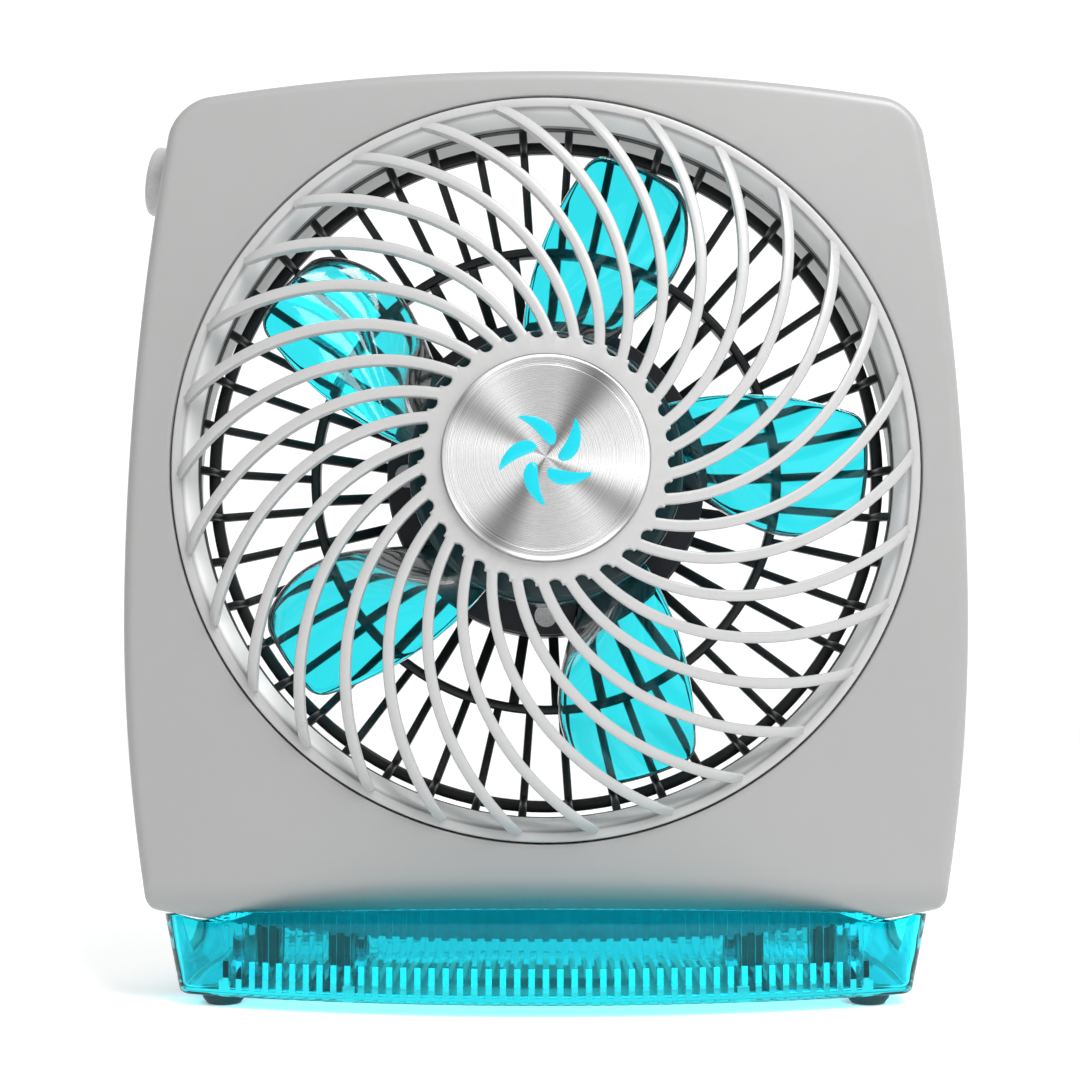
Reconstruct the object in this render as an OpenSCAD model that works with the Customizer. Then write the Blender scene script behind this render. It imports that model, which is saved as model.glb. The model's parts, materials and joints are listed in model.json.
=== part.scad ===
// Compact box fan: a grille-fronted head that tilts on pins in a clear tray base.
// Millimetres. +Z is up, the front faces -Y, and the feet stand on z = 0.
// Depths along Y are measured back from the face of the head and written d.

/* [Head] */
// Height of the fan from the table to the crown
fan_h = 190; // [184:1:240]
// Width of the head at its widest
head_w = 170; // [164:1:215]
// Depth of the head from face to back
head_d = 44; // [40:1:56]
// Thickness of the housing walls
wall = 2.2; // [1.6:0.1:3]
// Radius of the head's upper corners
corner_r = 7; // [4:0.5:12]
// Radius of the head's lower corners
low_corner_r = 1.5; // [1:0.1:3]
// Radius of the arched crown
arch_r = 440; // [300:10:900]
// Radius of the arched belly
belly_r = 340; // [320:10:450]
// Radius of the bulged sides above their widest point
side_up_r = 580; // [400:10:900]
// Radius of the bulged sides below their widest point
side_low_r = 365; // [250:5:900]
// Height of the widest point
widest_z = 83; // [70:1:100]
// Height of the lowest point of the head's belly
belly_z = 10; // [9.8:0.1:11.5]
// Height where the face starts to roll under
chin_z = 26.6; // [24:0.1:32]
// Depth of the roll under the face
chin_d = 28; // [24:0.5:30]
// Rise of the belly's rear edge
heel_h = 4; // [2.5:0.5:6]
// Depth over which the rear edge rises
heel_d = 12; // [6:1:16]
// Depth from the face where the two shells meet
split_d = 34; // [31:0.5:36]

/* [Front grille] */
// Diameter of the opening in the face
open_d = 151.8; // [126:0.2:156]
// Strip of face left above the opening
crown_strip = 5.7; // [5:0.1:12]
// Gap round the grille's ring
ring_gap = 0.4; // [0.2:0.05:0.8]
// Width of the ring's flat face
ring_w = 1.9; // [1.2:0.1:4]
// Width of the funnel inside the ring
funnel_w = 2.8; // [1.5:0.1:4]
// Depth of the ring
ring_depth = 5; // [4:0.5:7]
// Number of swirl vanes
vane_n = 30; // [20:1:36]
// Width of a vane
vane_w = 2.2; // [1.6:0.1:3]
// Depth of a vane
vane_t = 3.4; // [2.4:0.1:5]
// Degrees that a vane turns for each millimetre outwards
vane_turn = 0.909; // [0.4:0.01:1.1]
// Height of the dome above the face
dome_h = 13.5; // [8:0.5:18]
// Diameter of the grille's centre
grille_hub_d = 47.6; // [40:0.2:60]
// Diameter of the badge disc
badge_d = 40.4; // [30:0.2:46]
// Thickness of the badge disc
badge_t = 1.2; // [0.8:0.1:2]

/* [Rear grille] */
// Number of ribs from the outer ring to the middle ring
outer_rib_n = 46; // [30:1:60]
// Number of ribs from the middle ring to the motor cup
inner_rib_n = 33; // [20:1:40]
// Width of an outer rib
rib_w = 1.7; // [1.2:0.1:2.4]
// Width of an inner rib
inner_rib_w = 2.2; // [1.2:0.1:2.6]
// Depth from the face to the cage's outer corner
cage_d = 17; // [15:0.5:20]
// Depth from the face to the middle ring
mid_ring_d = 29; // [26:0.5:31]
// Inside diameter of the middle ring
mid_ring_id = 97.2; // [90:0.2:104]
// Width of the middle ring
mid_ring_w = 2; // [1.5:0.1:3]

/* [Motor] */
// Outside diameter of the motor cup
cup_d = 68; // [64:0.5:74]
// Diameter of the motor shaft
shaft_d = 3; // [2.4:0.1:4]
// Running clearance of the shaft in its bearings, on the radius
shaft_clear = 0.05; // [0.02:0.01:0.1]
// Outside diameter of the stator
stator_d = 52; // [46:0.5:54]
// Diameter of the rotor core
rotor_d = 27; // [20:0.5:30]
// Air gap between rotor and stator
air_gap = 0.5; // [0.3:0.1:1]

/* [Impeller] */
// Number of blades
blade_n = 5; // [3:1:7]
// Gap between blade tips and the throat
tip_gap = 4.6; // [3:0.1:10]
// Diameter of the impeller's hub
hub_d = 56; // [48:0.5:60]
// Thickness of a blade
blade_t = 1.6; // [1.2:0.1:2.4]

/* [Base] */
// Width of the base across its top
base_w = 157; // [150:0.2:200]
// Depth of the base
base_d = 82.8; // [76:0.2:100]
// Height of the front rim at its middle
base_h = 20.9; // [19:0.1:21.4]
// How far the front rim falls towards its ends
rim_fall = 3; // [2.6:0.1:5]
// Height of the side and back rims
side_rim_z = 9.5; // [8:0.5:10]
// How far each side leans out between floor and rim
base_lean = 4.4; // [1:0.1:5]
// Radius of the base's corners, seen from above
base_corner_r = 4; // [4:0.5:8]
// Radius of the bowed front, seen from above
base_bow_r = 178; // [150:1:400]
// Distance the base stands out in front of the face
base_front = 8.8; // [6:0.1:12]
// Thickness of the base's walls
base_wall = 2; // [1.6:0.1:2.6]
// Thickness of the base's floor
floor_t = 1.3; // [1:0.1:1.6]
// Height of the rubber feet
foot_h = 2.2; // [1.8:0.1:2.6]
// Diameter of the rubber feet
foot_d = 8.8; // [6:0.2:10]

/* [Hinge] */
// Depth from the face to the hinge line
pivot_d = 26; // [24:0.5:28]
// Height of the hinge line
pivot_z = 8.7; // [8.5:0.1:8.9]
// Diameter of the hinge pins
pin_d = 3; // [2.4:0.1:3.4]
// Running clearance of the pins in the lugs, on the radius
pin_clear = 0.06; // [0.02:0.01:0.1]
// Distance of the inner lug from the middle
lug_in_x = 42.9; // [40:0.1:46]
// Distance of the outer lug from the middle
lug_out_x = 57.6; // [54:0.1:60]
// Thickness of a lug
lug_t = 4.5; // [3.5:0.1:5]
// Distance of the inner post from the middle
post_in_x = 38.5; // [36:0.1:39]
// Distance of the outer post from the middle
post_out_x = 63.9; // [63:0.1:66]
// Thickness of a post
post_t = 2.4; // [1.6:0.1:3]

/* [Button] */
// Diameter of the push button
button_d = 14.6; // [11:0.1:16]
// Diameter of the bezel round the button
bezel_d = 19.3; // [18:0.1:22]
// Gap between the button and its bezel
button_gap = 0.2; // [0.15:0.05:0.4]
// Height of the button's middle, down from the crown
button_drop = 19.9; // [18:0.1:26]
// Depth from the face to the button's middle
button_depth = 17; // [14:0.5:20]
// Distance that the button stands out of the side
button_out = 5; // [4:0.2:5.6]
// Travel of the button
button_travel = 1.5; // [1:0.1:2]

/* [Cord inlet] */
// Diameter of the hole for the cord
cord_hole_d = 5.2; // [4:0.1:6]
// Outside diameter of the inlet's collar
inlet_d = 10; // [9:0.5:12]

/* [Hidden] */
$fn = 96;
eps = 0.02;

grey = [0.76, 0.76, 0.76];
black = [0.09, 0.1, 0.1];
teal = [0.13, 0.8, 0.87, 0.6];
steel = [0.72, 0.72, 0.74];
copper = [0.72, 0.4, 0.2];
rubber = [0.07, 0.13, 0.14];

// The face plane, so that the whole fan is centred front to back
badge_proud = 0.5;
base_back_d = base_d - base_front;
face_y = -(base_back_d - dome_h - badge_proud) / 2;
open_r = open_d / 2;
hub_z = fan_h - crown_strip - open_r;
ring_r = open_r - ring_gap;
throat_r = ring_r - ring_w - funnel_w;
dome_r = ring_r - ring_w + 0.3;
grille_hub_r = grille_hub_d / 2;
first_vane = 4.1;
badge_floor = dome_h + badge_proud - badge_t;

// Duct behind the face
collar_t = 2.4;
ledge_t = 2.5;
ledge_d = ring_depth + 0.2;
ledge_back_d = ledge_d + ledge_t;
collar_r = open_r + collar_t;
duct_r = collar_r - 1.8;

// Cage of the rear grille
cage_ring_t = 2.5;
cage_r = throat_r - 0.6;
cage_flange_r = ring_r;
cage_hole_r = throat_r + 0.2;
cage_side_t = 2;
mid_r = mid_ring_id / 2;
cup_r = cup_d / 2;
cup_wall = 2;
cup_front_d = 24.5;
cup_back_d = 40.5;
cup_rib_d = 38;
rib_depth = 2.4;
screw_count = 4;
cage_screw_r = (throat_r + cage_flange_r) / 2 + 0.4;

// Motor stack, all along the fan's axis
plate_t = 2;
plate_back_d = cup_front_d;
plate_front_d = plate_back_d - plate_t;
stator_front_d = 27.5;
stator_back_d = 36.5;
coil_t = 1.8;
bearing_r = 4.5;
bearing_l = 3.4;
cover_t = 2;
cover_back_d = cup_back_d + cover_t;
shaft_r = shaft_d / 2;
shaft_front_d = -1.5;
shaft_back_d = cup_back_d - 0.4;
motor_screw_r = cup_r - cup_wall - 2.4;
motor_boss_r = 3.2;
air_slot_n = 12;
air_slot_r = 12;
air_slot_l = 10;
air_slot_w = 2.4;

// Impeller
tip_r = throat_r - tip_gap;
hub_r = hub_d / 2;
hub_front_d = 2;
hub_back_d = 21;
hub_wall = 2;
boss_r = 5;
first_blade = 3;
root_lead = -10;
root_trail = 25;
lead_bulge = 8.1;
trail_sweep = 18.8;

// Hinge and base
pivot_y = face_y + pivot_d;
pin_r = pin_d / 2;
lug_r = 4.2;
post_r = 3;
head_gap = 0.4;
bracket_z = belly_z + 9.4;
bracket_t = 2.2;
slot_clear = 0.3;
slot_half = lug_r + slot_clear;
bracket_screw_in = lug_in_x - lug_t / 2 - 4;
bracket_screw_out = lug_out_x + lug_t / 2 + 4;
bracket_in_x = bracket_screw_in - 3;
bracket_out_x = bracket_screw_out + 3;
bracket_half = 5.5;
bracket_boss_r = 2.4;
rib_low_z = 5.6;
foot_in = 10;
foot_x = base_w / 2 - base_lean - foot_in + 1;
foot_front_d = foot_in;
foot_back_d = base_back_d - foot_in;

// Housing screws, one at each corner of the back
screw_low_x = head_w / 2 - 14;
screw_low_z = 34;
screw_high_x = head_w / 2 - 33;
screw_high_z = fan_h - 11;
boss_out_r = 3.6;
screw_hole_r = 1.3;
screw_head_r = 2.8;

// Button in the left side
button_z = fan_h - button_drop;
button_y = face_y + button_depth;
button_tilt = asin((button_z - widest_z) / side_up_r);
button_edge = 1.4;
bezel_proud = 1.3;
stem_r = 1.9;

// The switch hangs on the inside of the left wall behind the button
switch_size = 11;
switch_in = 8.5;
switch_screw_z = 7.4;
switch_tab_t = 1.6;

// Cord inlet in the back, low on the right
inlet_x = head_w / 2 - 13;
inlet_z = 52;
inlet_neck_r = inlet_d / 2 - 1.2;
inlet_flange_t = 1.5;

// Half width of the head at a height
function side_sag(z, r) = r - sqrt(r * r - (z - widest_z) * (z - widest_z));
function side_x(z) = head_w / 2 - side_sag(z, z > widest_z ? side_up_r : side_low_r);

// Height of the dome's outside at a distance from the fan's axis
function dome_z(r) = dome_h * sqrt(max(0, 1 - (r / dome_r) * (r / dome_r)));

// A point at a radius and an angle
function polar(r, a) = [r * cos(a), r * sin(a)];

// Lays a flat shape upright, from depth d0 back to depth d1
module slab(d0, d1) {
    translate([0, face_y + d1, 0]) rotate([90, 0, 0]) linear_extrude(d1 - d0) children();
}

// Lays a shape drawn in depth and height across the width w about the middle
module across(w) {
    translate([-w / 2, 0, 0]) rotate([90, 0, 90]) linear_extrude(w) children();
}

// Turns a shape built on +Z so that +Z points forward along the fan's axis
module on_axis() {
    translate([0, face_y, hub_z]) rotate([90, 0, 0]) children();
}

// A disc or tube on the fan's axis between two depths
module round_part(d0, d1, r, hole = 0) {
    on_axis() translate([0, 0, -d1]) difference() {
        cylinder(h = d1 - d0, r = r);
        if (hole > 0) translate([0, 0, -eps]) cylinder(h = d1 - d0 + 2 * eps, r = hole);
    }
}

// The head seen from the front, drawn in by an inset
module head_outline(inset = 0) {
    steps = 20;
    low = belly_z - 2;
    high = fan_h + 2;
    right = [for (i = [0:steps]) let (z = low + (high - low) * i / steps) [side_x(z), z]];
    left = [for (i = [steps:-1:0]) [-right[i][0], right[i][1]]];
    module plain() intersection() {
        polygon(concat(right, left));
        translate([0, fan_h - arch_r]) circle(r = arch_r, $fn = 240);
        translate([0, belly_z + belly_r]) circle(r = belly_r, $fn = 240);
    }
    offset(delta = -inset) union() {
        intersection() {
            offset(r = corner_r, $fn = 48) offset(delta = -corner_r) plain();
            translate([-head_w, widest_z]) square([2 * head_w, fan_h]);
        }
        intersection() {
            offset(r = low_corner_r, $fn = 48) offset(delta = -low_corner_r) plain();
            translate([-head_w, 0]) square([2 * head_w, widest_z + eps]);
        }
    }
}

// The head seen from the side: the roll under the face, the belly and the heel behind it
module head_profile(inset = 0) {
    chin = [for (a = [0:10:90]) [chin_d - (chin_d - inset) * cos(a),
                                 chin_z - (chin_z - belly_z - inset) * sin(a)]];
    heel = [for (a = [0:15:90]) [head_d - heel_d + (heel_d - inset) * sin(a),
                                 belly_z + heel_h - (heel_h - inset) * cos(a)]];
    translate([face_y, 0]) polygon(concat(
        [[inset, 2 * fan_h]], chin, heel, [[head_d - inset, 2 * fan_h]]));
}

// The head as one solid between two depths
module head_solid(d0, d1, inset = 0) {
    intersection() {
        slab(d0, d1) head_outline(inset);
        across(head_w + 10) head_profile(inset);
    }
}

// A cylinder along X
module along_x(x0, x1, r) {
    translate([min(x0, x1), 0, 0]) rotate([0, 90, 0]) cylinder(h = abs(x1 - x0), r = r);
}

// Places one child at each housing screw
module at_housing_screws() {
    for (side = [-1, 1]) {
        translate([side * screw_low_x, face_y, screw_low_z]) rotate([90, 0, 0]) children();
        translate([side * screw_high_x, face_y, screw_high_z]) rotate([90, 0, 0]) children();
    }
}

// Slots in the belly that the lugs pass through
module belly_slots() {
    for (side = [-1, 1], x = [lug_in_x, lug_out_x])
        translate([side * x - lug_t / 2 - slot_clear, pivot_y - slot_half, 0])
            cube([lug_t + 2 * slot_clear, 2 * slot_half, bracket_z]);
}

// Puts its children at the button, with +X pointing in through the side wall
module at_button() {
    translate([-side_x(button_z), button_y, button_z]) rotate([0, button_tilt, 0]) children();
}

module front_housing() color(grey) {
    difference() {
        union() {
            difference() {
                head_solid(0, split_d);
                head_solid(wall, split_d + 1, wall);
            }
            intersection() {
                union() {
                    round_part(0, ledge_back_d, collar_r);
                    at_housing_screws() translate([0, 0, -split_d])
                        cylinder(h = split_d, r = boss_out_r);
                    for (side = [-1, 1], x = [bracket_screw_in, bracket_screw_out])
                        translate([side * x, pivot_y, 0]) cylinder(h = bracket_z, r = bracket_boss_r);
                }
                head_solid(0, split_d);
            }
        }
        round_part(-1, ledge_d, open_r);
        round_part(-1, ledge_back_d + 1, throat_r + 0.4);
        at_housing_screws() translate([0, 0, -split_d - 1])
            cylinder(h = split_d - 6, r = screw_hole_r);
        for (side = [-1, 1], x = [bracket_screw_in, bracket_screw_out])
            translate([side * x, pivot_y, bracket_z - 2.6]) cylinder(h = 4, r = 1);
        belly_slots();
        at_button() along_x(-5, 12, bezel_d / 2);
        cage_screw_holes();
    }
}

// Blind holes in the ledge for the cage's screws
module cage_screw_holes() {
    for (i = [0:screw_count - 1])
        on_axis() rotate([0, 0, 45 + i * 360 / screw_count])
            translate([cage_screw_r, 0, -ledge_back_d - 1]) cylinder(h = 2.8, r = 0.8);
}

module rear_housing() color(grey) {
    difference() {
        union() {
            difference() {
                head_solid(split_d, head_d);
                head_solid(split_d - 1, head_d - wall, wall);
            }
            round_part(ledge_back_d, head_d, collar_r);
            intersection() {
                at_housing_screws() translate([0, 0, -head_d])
                    cylinder(h = head_d - split_d, r = boss_out_r);
                head_solid(split_d, head_d);
            }
        }
        round_part(ledge_back_d - 1, head_d + 1, duct_r);
        at_housing_screws() translate([0, 0, -head_d - 1]) {
            cylinder(h = head_d, r = screw_hole_r + 0.3);
            cylinder(h = 3.4, r = screw_head_r + 0.2);
        }
        translate([inlet_x, face_y + head_d - wall - 1, inlet_z]) rotate([-90, 0, 0])
            cylinder(h = wall + 2, r = inlet_neck_r);
    }
}

// One swirl vane, seen along the fan's axis
module vane_outline() {
    steps = 10;
    first_r = grille_hub_r - 2;
    last_r = ring_r - ring_w + 0.2;
    function turn(r) = (r - grille_hub_r) * vane_turn;
    function lean(r) = atan(r * vane_turn * PI / 180);
    function edge(r, side) =
        polar(r, turn(r)) + side * vane_w / 2 * polar(1, turn(r) + lean(r) + 90);
    radii = [for (i = [0:steps]) first_r + (last_r - first_r) * i / steps];
    polygon(concat([for (r = radii) edge(r, 1)],
                   [for (i = [steps:-1:0]) edge(radii[i], -1)]));
}

// The shell that the vanes are cut from
module dome_shell() {
    steps = 9;
    last_r = ring_r - ring_w + 0.1;
    radii = [for (i = [0:steps]) last_r * sin(90 * i / steps)];
    rotate_extrude() polygon(concat(
        [for (r = radii) [r, dome_z(r)]],
        [for (i = [steps:-1:0]) [radii[i], dome_z(radii[i]) - vane_t]]));
}

module front_grille() color([0.8, 0.8, 0.8]) on_axis() {
    intersection() {
        linear_extrude(dome_h + vane_t + 4, center = true) for (i = [0:vane_n - 1])
            rotate(first_vane + i * 360 / vane_n) vane_outline();
        dome_shell();
    }
    difference() {
        intersection() {
            cylinder(h = dome_h + 1, r = grille_hub_r);
            dome_shell();
        }
        translate([0, 0, badge_floor]) cylinder(h = 10, r = badge_d / 2 + 0.1);
    }
    rotate_extrude() polygon([
        [throat_r, -ring_depth], [ring_r, -ring_depth], [ring_r, 0],
        [ring_r - ring_w, 0]]);
}

module hub_badge() color(steel) on_axis() {
    translate([0, 0, badge_floor]) cylinder(h = badge_t, r = badge_d / 2);
}

// A cage rib, drawn in distance from the axis and height, flat side up
module outer_rib() {
    polygon([
        [cage_hole_r + 1, -ledge_back_d - 0.5], [cage_hole_r + 1, -ledge_back_d - cage_ring_t + 0.5],
        [cage_r, -ledge_back_d - 4], [cage_r, -cage_d], [cage_r - 1, -cage_d - 1.4],
        [mid_r + mid_ring_w / 2, -mid_ring_d - rib_depth / 2],
        [mid_r + mid_ring_w / 2, -mid_ring_d + rib_depth / 2],
        [cage_r - cage_side_t, -cage_d + 0.6],
        [cage_r - cage_side_t, -ledge_back_d - cage_ring_t + 0.7]]);
}

module inner_rib() {
    polygon([
        [mid_r + mid_ring_w / 2, -mid_ring_d + rib_depth / 2],
        [mid_r + mid_ring_w / 2, -mid_ring_d - rib_depth / 2],
        [cup_r - cup_wall / 2, -cup_rib_d - rib_depth / 2],
        [cup_r - cup_wall / 2, -cup_rib_d + rib_depth / 2]]);
}

module rib_set(count, width, phase) {
    for (i = [0:count - 1])
        on_axis() rotate([0, 0, phase + i * 360 / count]) rotate([90, 0, 0])
            linear_extrude(width, center = true) children();
}

module rear_grille() color(black) {
    difference() {
        union() {
            round_part(ledge_back_d, ledge_back_d + cage_ring_t, cage_flange_r, cage_hole_r);
            round_part(cage_d - 1, cage_d + 1, cage_r + 0.4, cage_r - cage_side_t);
            round_part(mid_ring_d - 2, mid_ring_d + 2, mid_r + mid_ring_w, mid_r);
            round_part(cup_front_d, cup_back_d, cup_r, cup_r - cup_wall);
            rib_set(outer_rib_n, rib_w, 0) outer_rib();
            rib_set(inner_rib_n, inner_rib_w, 0) inner_rib();
            for (i = [0:screw_count - 1]) on_axis() rotate([0, 0, i * 360 / screw_count + 90])
                translate([motor_screw_r, 0, -cup_back_d])
                    cylinder(h = cup_back_d - cup_front_d, r = motor_boss_r);
        }
        for (i = [0:screw_count - 1]) on_axis() {
            rotate([0, 0, 45 + i * 360 / screw_count])
                translate([cage_screw_r, 0, -ledge_back_d - 5]) cylinder(h = 6, r = 1);
            rotate([0, 0, i * 360 / screw_count + 90])
                translate([motor_screw_r, 0, -cup_back_d - 1]) cylinder(h = 30, r = 1.2);
        }
    }
}

module motor_cover() color(black) difference() {
    round_part(cup_back_d, cover_back_d, cup_r);
    round_part(cup_back_d - 1, cover_back_d - 0.8, bearing_r);
    for (i = [0:screw_count - 1]) on_axis() rotate([0, 0, i * 360 / screw_count + 90])
        translate([motor_screw_r, 0, -cover_back_d - 1]) cylinder(h = 5, r = 1.4);
    for (i = [0:air_slot_n - 1]) on_axis() rotate([0, 0, (i + 0.5) * 360 / air_slot_n])
        translate([air_slot_r, -air_slot_w / 2, -cover_back_d - 1])
            cube([air_slot_l, air_slot_w, cover_t + 2]);
}

module front_bearing_plate() color(steel) difference() {
    round_part(plate_front_d, plate_back_d, cup_r - 0.4, bearing_r);
    for (i = [0:screw_count - 1]) on_axis() rotate([0, 0, i * 360 / screw_count + 90])
        translate([motor_screw_r, 0, -plate_back_d - 1]) cylinder(h = 5, r = 1.4);
}

module stator_core() color([0.45, 0.45, 0.47]) difference() {
    round_part(stator_front_d, stator_back_d, stator_d / 2, rotor_d / 2 + air_gap);
    for (i = [0:5]) on_axis() rotate([0, 0, i * 60 + 30])
        translate([stator_d / 2 - 6.5, 0, -stator_back_d - 1])
            cylinder(h = 12, r = 3.2);
}

module stator_coils() color(copper) {
    coil_in = rotor_d / 2 + air_gap + 1;
    round_part(stator_front_d - coil_t, stator_front_d, stator_d / 2 - 2.5, coil_in);
    round_part(stator_back_d, stator_back_d + coil_t, stator_d / 2 - 2.5, coil_in);
}

module front_bearing() color([0.7, 0.55, 0.3]) {
    round_part(plate_front_d, plate_front_d + bearing_l, bearing_r, shaft_r + shaft_clear);
}

module rear_bearing() color([0.7, 0.55, 0.3]) {
    round_part(cover_back_d - 0.8 - bearing_l, cover_back_d - 0.8, bearing_r,
               shaft_r + shaft_clear);
}

// A pan-head screw with its tip down and its head's underside at z = 0
module screw(length, r, head_r, head_h) {
    translate([0, 0, -length]) cylinder(h = length, r = r, $fn = 32);
    difference() {
        cylinder(h = head_h, r = head_r, $fn = 32);
        translate([-head_r * 0.6, -0.3, head_h - 0.6]) cube([head_r * 1.2, 0.6, 1]);
        translate([-0.3, -head_r * 0.6, head_h - 0.6]) cube([0.6, head_r * 1.2, 1]);
    }
}

module motor_screws() color(steel) for (i = [0:screw_count - 1])
    on_axis() rotate([0, 0, i * 360 / screw_count + 90])
        translate([motor_screw_r, 0, -plate_front_d]) screw(8, 1.2, 2.4, 1.2);

module cover_screws() color(steel) for (i = [0:screw_count - 1])
    on_axis() rotate([0, 0, i * 360 / screw_count + 90])
        translate([motor_screw_r, 0, -cover_back_d]) mirror([0, 0, 1]) screw(7, 1.2, 2.2, 1.2);

module grille_screws() color(steel) for (i = [0:screw_count - 1])
    on_axis() rotate([0, 0, 45 + i * 360 / screw_count])
        translate([cage_screw_r, 0, -ledge_back_d - cage_ring_t]) mirror([0, 0, 1])
            screw(cage_ring_t + 1.6, 0.8, 1.6, 1);

module housing_screws() color(steel) at_housing_screws()
    translate([0, 0, -head_d + 2.4]) mirror([0, 0, 1])
        screw(head_d - split_d + 8, screw_hole_r, screw_head_r, 1.6);

// Two lugs under a plate that is screwed into the belly
module hinge_bracket() {
    difference() {
        union() {
            translate([bracket_in_x, pivot_y - bracket_half, bracket_z])
                cube([bracket_out_x - bracket_in_x, 2 * bracket_half, bracket_t]);
            for (x = [lug_in_x, lug_out_x]) translate([x, 0, 0]) across(lug_t) hull() {
                translate([pivot_y, pivot_z]) circle(r = lug_r);
                translate([pivot_y - lug_r, bracket_z]) square([2 * lug_r, bracket_t]);
            }
        }
        translate([0, pivot_y, pivot_z])
            along_x(lug_in_x - 6, lug_out_x + 6, pin_r + pin_clear);
        for (x = [bracket_screw_in, bracket_screw_out])
            translate([x, pivot_y, bracket_z - 1]) cylinder(h = bracket_t + 2, r = 1.2);
    }
}

module right_hinge_bracket() color(black) hinge_bracket();

module left_hinge_bracket() color(black) mirror([1, 0, 0]) hinge_bracket();

module bracket_screws() color(steel) for (side = [-1, 1], x = [bracket_screw_in, bracket_screw_out])
    translate([side * x, pivot_y, bracket_z + bracket_t])
        screw(bracket_t + 2.2, 1, 1.8, 1.1);

module cord_inlet() color(black)
    translate([inlet_x, face_y + head_d - wall, inlet_z]) rotate([-90, 0, 0]) difference() {
        union() {
            translate([0, 0, -3]) cylinder(h = 3 + wall, r = inlet_neck_r);
            translate([0, 0, -3]) cylinder(h = 3, r = inlet_d / 2);
            translate([0, 0, wall]) cylinder(h = inlet_flange_t, r = inlet_d / 2);
        }
        translate([0, 0, -4]) cylinder(h = wall + 8, r = cord_hole_d / 2);
    }

module push_switch() color(black) at_button() difference() {
    union() {
        translate([switch_in, -switch_size / 2, -switch_size / 2])
            cube([switch_size, switch_size, switch_size]);
        translate([switch_in, -4, -9]) cube([switch_tab_t, 8, 18]);
    }
    along_x(switch_in - 1, switch_in + 5, stem_r + 0.3);
    for (side = [-1, 1]) translate([0, 0, side * switch_screw_z])
        along_x(switch_in - 1, switch_in + 2, 0.8);
}

module switch_screws() color(steel) at_button() for (side = [-1, 1])
    translate([switch_in + switch_tab_t, 0, side * switch_screw_z]) rotate([0, 90, 0])
        screw(3, 0.7, 1.4, 0.8);

module button_bezel() color(grey) at_button() difference() {
    union() {
        along_x(0, switch_in, bezel_d / 2);
        rotate([0, -90, 0])
            cylinder(h = bezel_proud, r1 = bezel_d / 2, r2 = bezel_d / 2 - bezel_proud);
    }
    along_x(-bezel_proud - 1, switch_in + 1, button_d / 2 + button_gap);
    for (side = [-1, 1]) translate([0, 0, side * (button_d / 2 + 1.3)])
        along_x(switch_in - 2, switch_in + 1, 0.7);
}

module speed_button() color([0.8, 0.8, 0.8]) at_button() {
    along_x(-button_out + button_edge, 2, button_d / 2);
    translate([-button_out + button_edge, 0, 0]) rotate([0, -90, 0])
        cylinder(h = button_edge, r1 = button_d / 2, r2 = button_d / 2 - 2);
    along_x(2 - eps, switch_in + 2, stem_r);
}

// A blade as a swept plate: its two edges are angles that follow the radius
module blade() {
    rows = 9;
    cols = 6;
    root_r = hub_r - 0.8;
    reach = tip_r - root_r;
    function lead(s) = root_lead - lead_bulge * (1 - pow(2.1 * s - 1.15, 2));
    function trail(s) = root_trail - trail_sweep * s;
    function front_d(s) = 5 + 1.5 * s;
    function back_d(s) = 20.5 - 6.5 * s;
    function angle(s, c) = lead(s) + (trail(s) - lead(s)) * c;
    function depth(s, c) = back_d(s) + (front_d(s) - back_d(s)) * c - 1.4 * sin(180 * c);
    function skin(s, c, side) = let (p = polar(root_r + reach * s, angle(s, c)))
        [p[0], p[1], -depth(s, c) + side * blade_t / 2 * (1 - 0.5 * pow(2 * c - 1, 4))];
    top = [for (i = [0:rows]) for (j = [0:cols]) skin(i / rows, j / cols, 1)];
    under = [for (i = [0:rows]) for (j = [0:cols]) skin(i / rows, j / cols, -1)];
    n = len(top);
    w = cols + 1;
    quads = [for (i = [0:rows - 1]) for (j = [0:cols - 1]) [i, j]];
    edge_in = [for (j = [0:cols]) j];
    edge_out = [for (j = [0:cols]) rows * w + j];
    edge_a = [for (i = [0:rows]) i * w];
    edge_b = [for (i = [0:rows]) i * w + cols];
    function wall_faces(e, flip) = [for (k = [0:len(e) - 2])
        flip ? [e[k], e[k + 1], e[k + 1] + n, e[k] + n]
             : [e[k] + n, e[k + 1] + n, e[k + 1], e[k]]];
    function split(f) = [[f[0], f[1], f[2]], [f[0], f[2], f[3]]];
    faces = concat(
        [for (q = quads) let (a = q[0] * w + q[1]) [a, a + 1, a + w + 1, a + w]],
        [for (q = quads) let (a = n + q[0] * w + q[1]) [a + w, a + w + 1, a + 1, a]],
        wall_faces(edge_in, false), wall_faces(edge_out, true),
        wall_faces(edge_a, true), wall_faces(edge_b, false));
    polyhedron(concat(top, under), [for (f = faces) for (t = split(f)) t]);
}

module impeller() color(teal) {
    difference() {
        round_part(hub_front_d, hub_back_d, hub_r);
        round_part(hub_front_d + hub_wall, hub_back_d + 1, hub_r - hub_wall);
        round_part(hub_front_d - 1, hub_front_d + hub_wall + 1, shaft_r);
    }
    round_part(hub_front_d + hub_wall / 2, hub_back_d - 3, boss_r, shaft_r);
    on_axis() for (i = [0:blade_n - 1]) rotate([0, 0, first_blade + i * 360 / blade_n]) blade();
}

module motor_shaft() color(steel) round_part(shaft_front_d, shaft_back_d, shaft_r);

module rotor_core() color([0.5, 0.5, 0.52])
    round_part(stator_front_d, stator_back_d, rotor_d / 2, shaft_r);

module impeller_nut() color(steel) on_axis() translate([0, 0, -hub_front_d]) difference() {
    cylinder(h = 3, r = 4, $fn = 6);
    translate([0, 0, -1]) cylinder(h = 5, r = shaft_r);
}

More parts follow.
